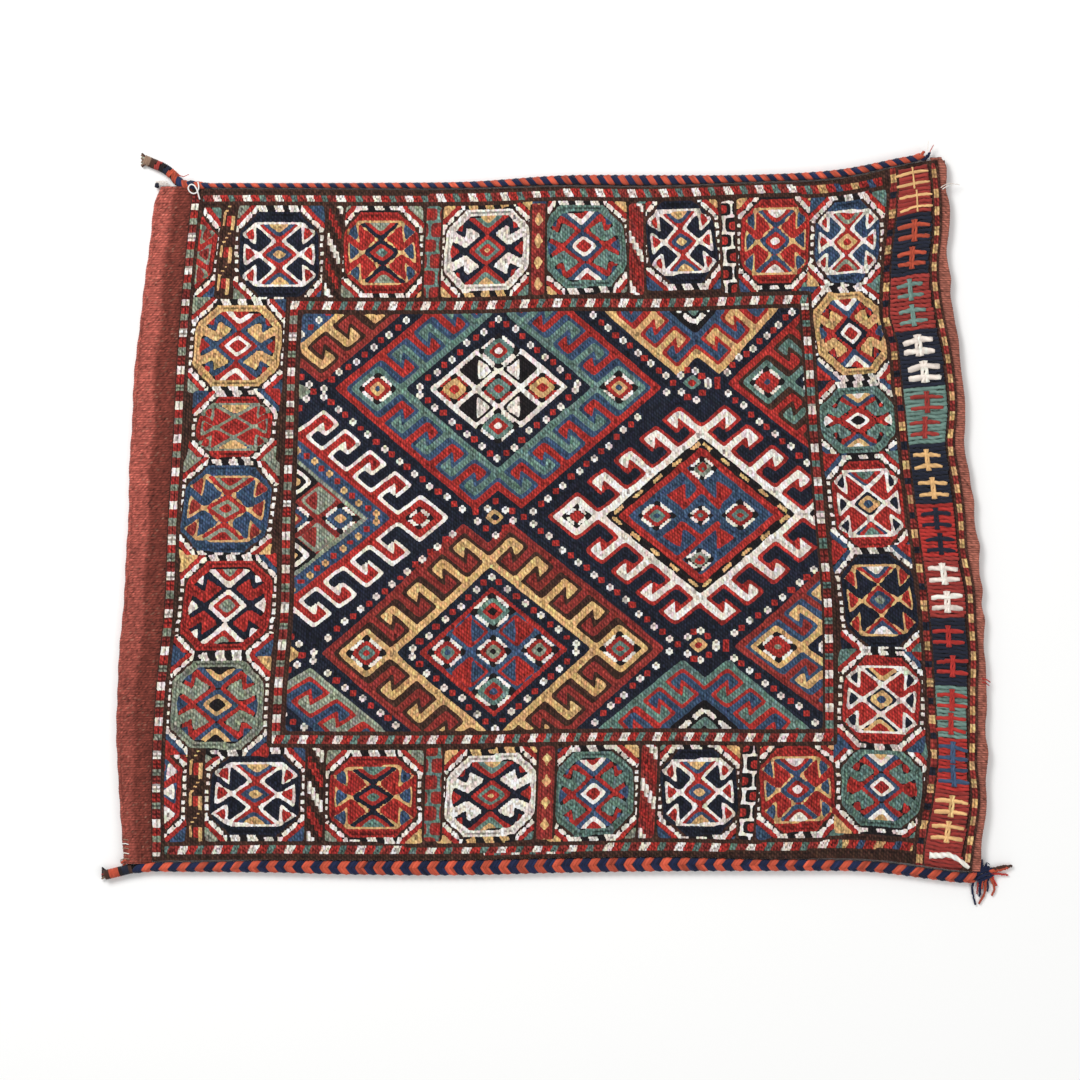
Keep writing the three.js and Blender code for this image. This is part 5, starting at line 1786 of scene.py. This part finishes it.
# Each yarn with its radius and its places, measured from the nearest corner of the pattern
TASSEL: tuple[Strand, ...] = (
    (V, 2.4, ((1, -6, 6), (12, -1, 7.5), (25, 3, 6))), (V, 2.4, ((3, -10, 5), (14, -5, 8), (26, -1, 6))),
    (V, 2.2, ((2, -2, 7), (12, 3, 8), (22, 5, 6))), (V, 2.2, ((8, -12, 5), (18, -8, 7), (27, -4, 6))),
    (V, 1.6, ((12, -1, 8), (10, 7, 8), (8.6, 13, 6))), (V, 1.5, ((14, 0, 8), (12.6, 8, 8), (12.4, 14, 7))),
    (V, 1.3, ((17, 1, 8), (17.8, 9, 7))), (V, 0.6, ((15, 4, 8), (18, 10, 8), (22, 8, 7))),
    (O, 2.6, ((22, -1, 6), (36, 2.8, 5), (46, 5, 3.5))), (D, 2.2, ((26, 2, 6), (37, 5, 5.5), (49, 5.8, 3.5))),
    (R, 1.4, ((24, -3, 6), (34, -3.6, 4), (44.6, -5, 2))),
    (V, 1.5, ((4, -8, 5), (1.3, -22, 3), (5.4, -41, 2))), (R, 1.0, ((9, -9, 5), (8, -18, 3), (6.7, -28, 2))),
    (V, 1.7, ((12, -9, 5), (11, -20, 3), (10, -31, 2))),
    (O, 1.7, ((17, -7, 6), (17, -20, 3.5), (15, -30, 2), (9.4, -40, 2))),
    (V, 1.3, ((20, -8, 5), (20, -25, 2))),
    (O, 1.6, ((22, -6, 6), (28, -20, 3), (24.7, -30, 2))), (R, 1.4, ((25, -6, 5), (30.7, -18, 2))),
    (O, 1.5, ((14, -6, 6), (13, -22, 3))))
TUFT: tuple[Strand, ...] = (
    (O, 2.0, ((-15, 3, 7), (-11, 8, 9), (-9.5, 11.5, 8))), (V, 2.0, ((-9, 1, 7), (-5, 5, 9), (-2.5, 9.5, 8))),
    (V, 1.8, ((-13, 1, 8), (-8, 2, 9.5), (-6, 6, 8))), (R, 0.55, ((-3, 8, 8), (-0.5, 14, 8), (2.4, 19, 8))),
    (W, 0.35, ((-4, 9, 8), (-4.5, 17, 8), (-3.6, 24, 8))))
KNOT: tuple[Strand, ...] = (
    (N, 1.5, ((-43.5, 7.5, 5), (-42.5, 5, 7), (-41, 2.5, 6))),
    (N, 1.4, ((-44, 5.5, 5), (-43, 4, 8), (-40.5, 4.5, 6))),
    (N, 1.4, ((-42.5, 8, 5), (-41.5, 6, 8), (-42, 3, 7))),
    *((W, 0.35, ((-44, 6 + k, 6), (-35, 6 + 1.1 * k, 7), (-26 - k, 4 + 1.4 * k, 6))) for k in range(5)))
UPPER_FRAY: tuple[Strand, ...] = (
    *((yarn, 1.4, ((-50, 33 + 0.5 * k, 5 + k % 3), (-56, 35 + k, 5 + k % 3), (-61 - k % 2, 36 + 2 * k, 4)))
      for k, yarn in zip(range(-4, 5), (D, Y, S, Y, D, Y, S, Y, D))),
    (R, 0.55, ((-17, 18, 12), (-10.6, 15.5, 11), (-3.6, 18.4, 10))))
LOWER_ENDS: tuple[Strand, ...] = (
    *((yarn, 1.5, ((-53, -16.5 + 0.7 * k, 6), (-57, -16.5 + 1.7 * k, 6), (-60, -17 + 2.6 * k, 4)))
      for k, yarn in zip(range(-2, 4), (Y, D, K, I, D, I))),
    *((W if k % 2 else Y, 0.65,
       ((-35 + 0.3 * k, y, 7.5), (-32 + 0.3 * k, y + 0.7, 12.4), (-27 + 0.3 * k, y, 14)))
      for k, y in enumerate((25, 20, 14.5, 8.5, 2))),
    (O, 1.5, ((-36, -3, 6), (-31, 1, 11), (-27, -2, 9))),
    (O, 1.4, ((-34, -6, 6), (-30, -2, 10), (-25, -4, 8))),
    (Y, 0.6, ((-37, -2, 6), (-36, 1, 9), (-31, 2, 12))))
STRAYS: tuple[Strand, ...] = (
    (W, 0.5, ((10, -33, 14.6), (17, -29, 14.6), (24, -28, 12), (33.6, -29.4, 9))),
    (W, 0.5, ((12, -35, 14.6), (17, -32, 14.6), (26, -29, 11))),
    (R, 0.8, ((60, -622, 14), (66, -624, 12), (70, -627, 9))),
    (R, 0.7, ((60, -626, 14), (65, -628, 12), (69, -631, 9))))
# The white string's places, measured from the upper left corner of the pattern
STRING_ROUTE = (
    (7.4, 8.6, -0.8), (8.4, 4, -0.4), (8, -0.6, 0.1), (5.4, -4.6, 0.2), (1, -5.2, 0.2), (-2.8, -2.4, 0.1),
    (-4, 2, -0.2), (-1.2, 5.4, -0.4), (3, 4.4, 0.4), (5.8, 0.4, 1.5), (7.4, -3.4, 2.1), (8.6, -7.8, 1),
    (9.8, -12.4, 0.3))


@dataclass
class LooseEnds:
    """Tassel, tuft, knot, string and stray threads at the corners."""

    panel: Panel
    string_height: float = 15.65
    string_radius: float = 0.86

    def threads(self, name: str, node: str | None, corner: Array, strands: Sequence[Strand],
                seed: int) -> Piece:
        """Lay single yarns through listed places.

        Args:
            name: the piece's name.
            node: the solid it stands for, or None.
            corner: place on the cloth that the yarns' places are measured from.
            strands: each yarn with its radius and its places; heights are from the floor.
            seed: seed of their unevenness.

        Returns:
            The new object.
        """
        rng, soup = np.random.default_rng(seed), Soup()
        for yarn, radius, places in strands:
            path = curve_through(np.array(places, float) + np.array([*corner, 0]), 7)
            path[1:-1] += rng.normal(0, 0.12 + 0.1 * radius, (len(path) - 2, 3))
            path[:, 2] = np.maximum(path[:, 2], radius + 0.15)
            tone = linear(yarn.value) * (1 + rng.normal(0, 0.12) + rng.normal(0, 0.06, (len(path), 1)))
            add_strand(soup, path, radius * np.linspace(1.1, 0.75, len(path)), np.clip(tone, 0, 1), plies=2,
                       lay_mm=7)
        piece = soup.piece(name, PLAITED_WOOL, "loose_yarn")
        if node:
            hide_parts(node)
        return piece

    def string(self) -> Piece:
        """Make the white string looped through the corner."""
        origin = np.array([*self.panel.top(np.array(0.0)), self.string_height])
        path = even_steps(curve_through(origin + np.array(STRING_ROUTE), 12), 0.8)
        soup = Soup()
        add_strand(soup, path, self.string_radius, linear(Yarn.COTTON.value), sides=10, plies=2, lay_mm=4)
        piece = soup.piece("tag_string_twist", COTTON_STRING, "white_string")
        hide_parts("tag_string")
        length = float(run_along(path)[-1])
        even_steps(path, 1.6) * MM
        LOG.info("tag string length %.1f mm", length)
        return piece


# Studio and assembly


@dataclass
class Studio:
    """Camera straight above at the photo's framing, white paper floor and soft lights."""

    centre: Pair = (-0.01885, -0.01486)
    across: float = 1.296
    bag_top: float = 0.0135
    lens: float = 110.0
    sensor: float = 36.0
    floor_half: float = 6.0
    ambient: float = 0.55

    def lamp(self, name: str, place: tuple[float, float, float], size: float, power: float) -> None:
        """Add one soft lamp aimed at the bag."""
        data = bpy.data.lights.new(name, "AREA")
        data.size, data.energy = size, power
        lamp = bpy.data.objects.new(name, data)
        lamp.location = place
        aim = np.array([*self.centre, 0]) - np.array(place)
        flat = math.hypot(aim[0], aim[1])
        lamp.rotation_euler = (math.atan2(flat, -aim[2]), 0, math.atan2(aim[1], aim[0]) - math.pi / 2)
        bpy.context.scene.collection.objects.link(lamp)

    def build(self) -> None:
        """Set up camera, floor, lights and colour management."""
        scene = bpy.context.scene
        scene.view_settings.view_transform = "Standard"
        data = bpy.data.cameras.new("camera")
        data.lens, data.sensor_width = self.lens, self.sensor
        camera = bpy.data.objects.new("camera", data)
        camera.location = (*self.centre, self.across * self.lens / self.sensor + self.bag_top)
        scene.collection.objects.link(camera)
        scene.camera = camera
        mesh = bpy.data.meshes.new("floor")
        corners = [(x * self.floor_half, y * self.floor_half, 0) for x, y in CORNERS]
        mesh.from_pydata(corners, [], [(0, 1, 2, 3)])
        mesh.materials.append(PaperFloor().material())
        floor = bpy.data.objects.new("floor", mesh)
        scene.collection.objects.link(floor)
        world = bpy.data.worlds.new("soft_box")
        world.use_nodes = True
        background = world.node_tree.nodes["Background"]
        background.inputs["Color"].default_value = (1, 1, 1, 1)
        background.inputs["Strength"].default_value = self.ambient
        scene.world = world
        self.lamp("key", (-1.3, 1.5, 2.4), 1.2, 62.0)
        self.lamp("fill", (1.6, -1.2, 2.3), 1.6, 14.0)


# The two braids: widths at even shares of the edge, where they run, and the places of both ends
UPPER_WIDTHS = (7, 7, 8, 9, 13, 14, 10, 11, 9)
UPPER_RUN = (0.02, 0.955)
UPPER_TAIL = ((-57, 36), (-44, 30.4), (-33.6, 25.8), (-25, 19), (-18.5, 10), (-9, 4.8), (-1, 4.4))
UPPER_TIP = ((-20, 2), (-12, 6), (-6, 11), (-3.5, 16))
UPPER_BANDS = ((7, Y), (7.5, D), (6, K), (6, I), (6, N), (6, O))
LOWER_WIDTHS = (12.5, 15, 17.5, 18.5, 18, 17.5, 14.5, 14.5, 14)
LOWER_RUN = (0, 0.985)
LOWER_TAIL = ((-56, -17.5), (-43, -14.4), (-31, -11.4), (-19, -9))
LOWER_TIP = ((4, -6.5), (13, -4))
LOWER_BANDS = ((6, D), (12, O), (4, I), (7, N), (5, D))
TAIL_WIDTH = 12.5
SEWN_GAP = 0.6


def upper_roll(_: float) -> float:
    """How far the upper braid is rolled over: the same all along."""
    return -0.95


def lower_roll(share: float) -> float:
    """How far the lower braid is rolled over: flat in the middle, turned towards its ends."""
    return 0.8 * float(smooth(np.array((0.2 - share) / 0.08)) + smooth(np.array((share - 0.76) / 0.08)))


def braid_side(panel: Panel, edge: Callable[[Array], Array], outward: int, widths: Sequence[float],
               shares: Pair, tail: Pairs, tip: Pairs) -> tuple[Array, Array]:
    """Middle line of one braid, tail first, square to the panel's edge and clear of it.

    Args:
        panel: the front panel.
        edge: the panel's edge that it is sewn along.
        outward: 1 where outward is up, -1 where it is down.
        widths: the braid's width at even shares of the edge.
        shares: where it starts and ends along the edge.
        tail: the tail's places, measured from the edge's corner at the fold.
        tip: places of its other end, measured from the edge's corner at the mouth.

    Returns:
        Places along the braid, and its width at each.
    """
    share = np.linspace(*shares, 60)
    flat, wide = edge(share), panel.bow(widths, share)
    along = unit(np.gradient(flat, axis=0))
    out = np.column_stack([-along[:, 1], along[:, 0]])
    flat = flat + out * (outward * (wide / 2 + SEWN_GAP))[:, None]
    line = np.vstack([edge(np.array(0.0)) + np.array(tail), flat, edge(np.array(1.0)) + np.array(tip)])
    knots = np.column_stack([line, np.concatenate([np.full(len(tail), TAIL_WIDTH), wide,
                                                   np.full(len(tip), wide[-1])])])
    sampled = curve_through(knots, 6)
    return np.column_stack([sampled[:, :2], np.full(len(sampled), panel.front_top / 2)]), sampled[:, 2]


def main() -> None:
    """Build the studio, then the bag piece by piece."""
    logging.basicConfig(level=logging.INFO, format="%(message)s")
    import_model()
    panel = Panel()
    Studio().build()
    ends = LooseEnds(panel)
    ends.string()
    chart = Chart()
    Border(chart).draw()
    Guards(chart).draw()
    Field(chart).draw()
    closure = Closure(chart)
    closure.draw()
    pieces = WrappedPattern(chart, panel).build()
    pieces.append(closure.wrap(panel))
    plain = PlainWeave(panel)
    ground = plain.ground()
    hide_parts("bag_cloth")
    pieces.append(plain.ribbed("fold_band", plain.fold_section, 1.8, plain.fold_tone, 3, 0.58, 3.0))
    pieces.append(plain.ribbed("mouth_hem", plain.hem_section, 1.8, plain.hem_tone, 4, 0.42, 2.6))
    path, widths = braid_side(panel, panel.top, 1, UPPER_WIDTHS, UPPER_RUN, UPPER_TAIL, UPPER_TIP)
    Plait("upper_braid_plait", "upper_braid", path, widths, 17.0, upper_roll, UPPER_BANDS).build()
    path, widths = braid_side(panel, panel.bottom, -1, LOWER_WIDTHS, LOWER_RUN, LOWER_TAIL, LOWER_TIP)
    Plait("lower_braid_plait", "lower_braid", path, widths, 21.5, lower_roll, LOWER_BANDS, lean=0.8).build()
    start, end = np.array(0.0), np.array(1.0)
    loose = (
        ("mouth_tassel_yarns", "mouth_tassel", panel.bottom(end), TASSEL),
        ("mouth_tuft_yarns", "mouth_tuft", panel.top(end), TUFT),
        ("corner_knot_yarns", "corner_knot", panel.top(start), KNOT),
        ("upper_tail_fray", None, panel.top(start), UPPER_FRAY),
        ("lower_tail_ends", None, panel.bottom(start), LOWER_ENDS),
        ("stray_threads", None, panel.top(end), STRAYS))
    for seed, (name, node, corner, strands) in enumerate(loose, 21):
        ends.threads(name, node, corner, strands, seed)


if __name__ == "__main__":
    main()
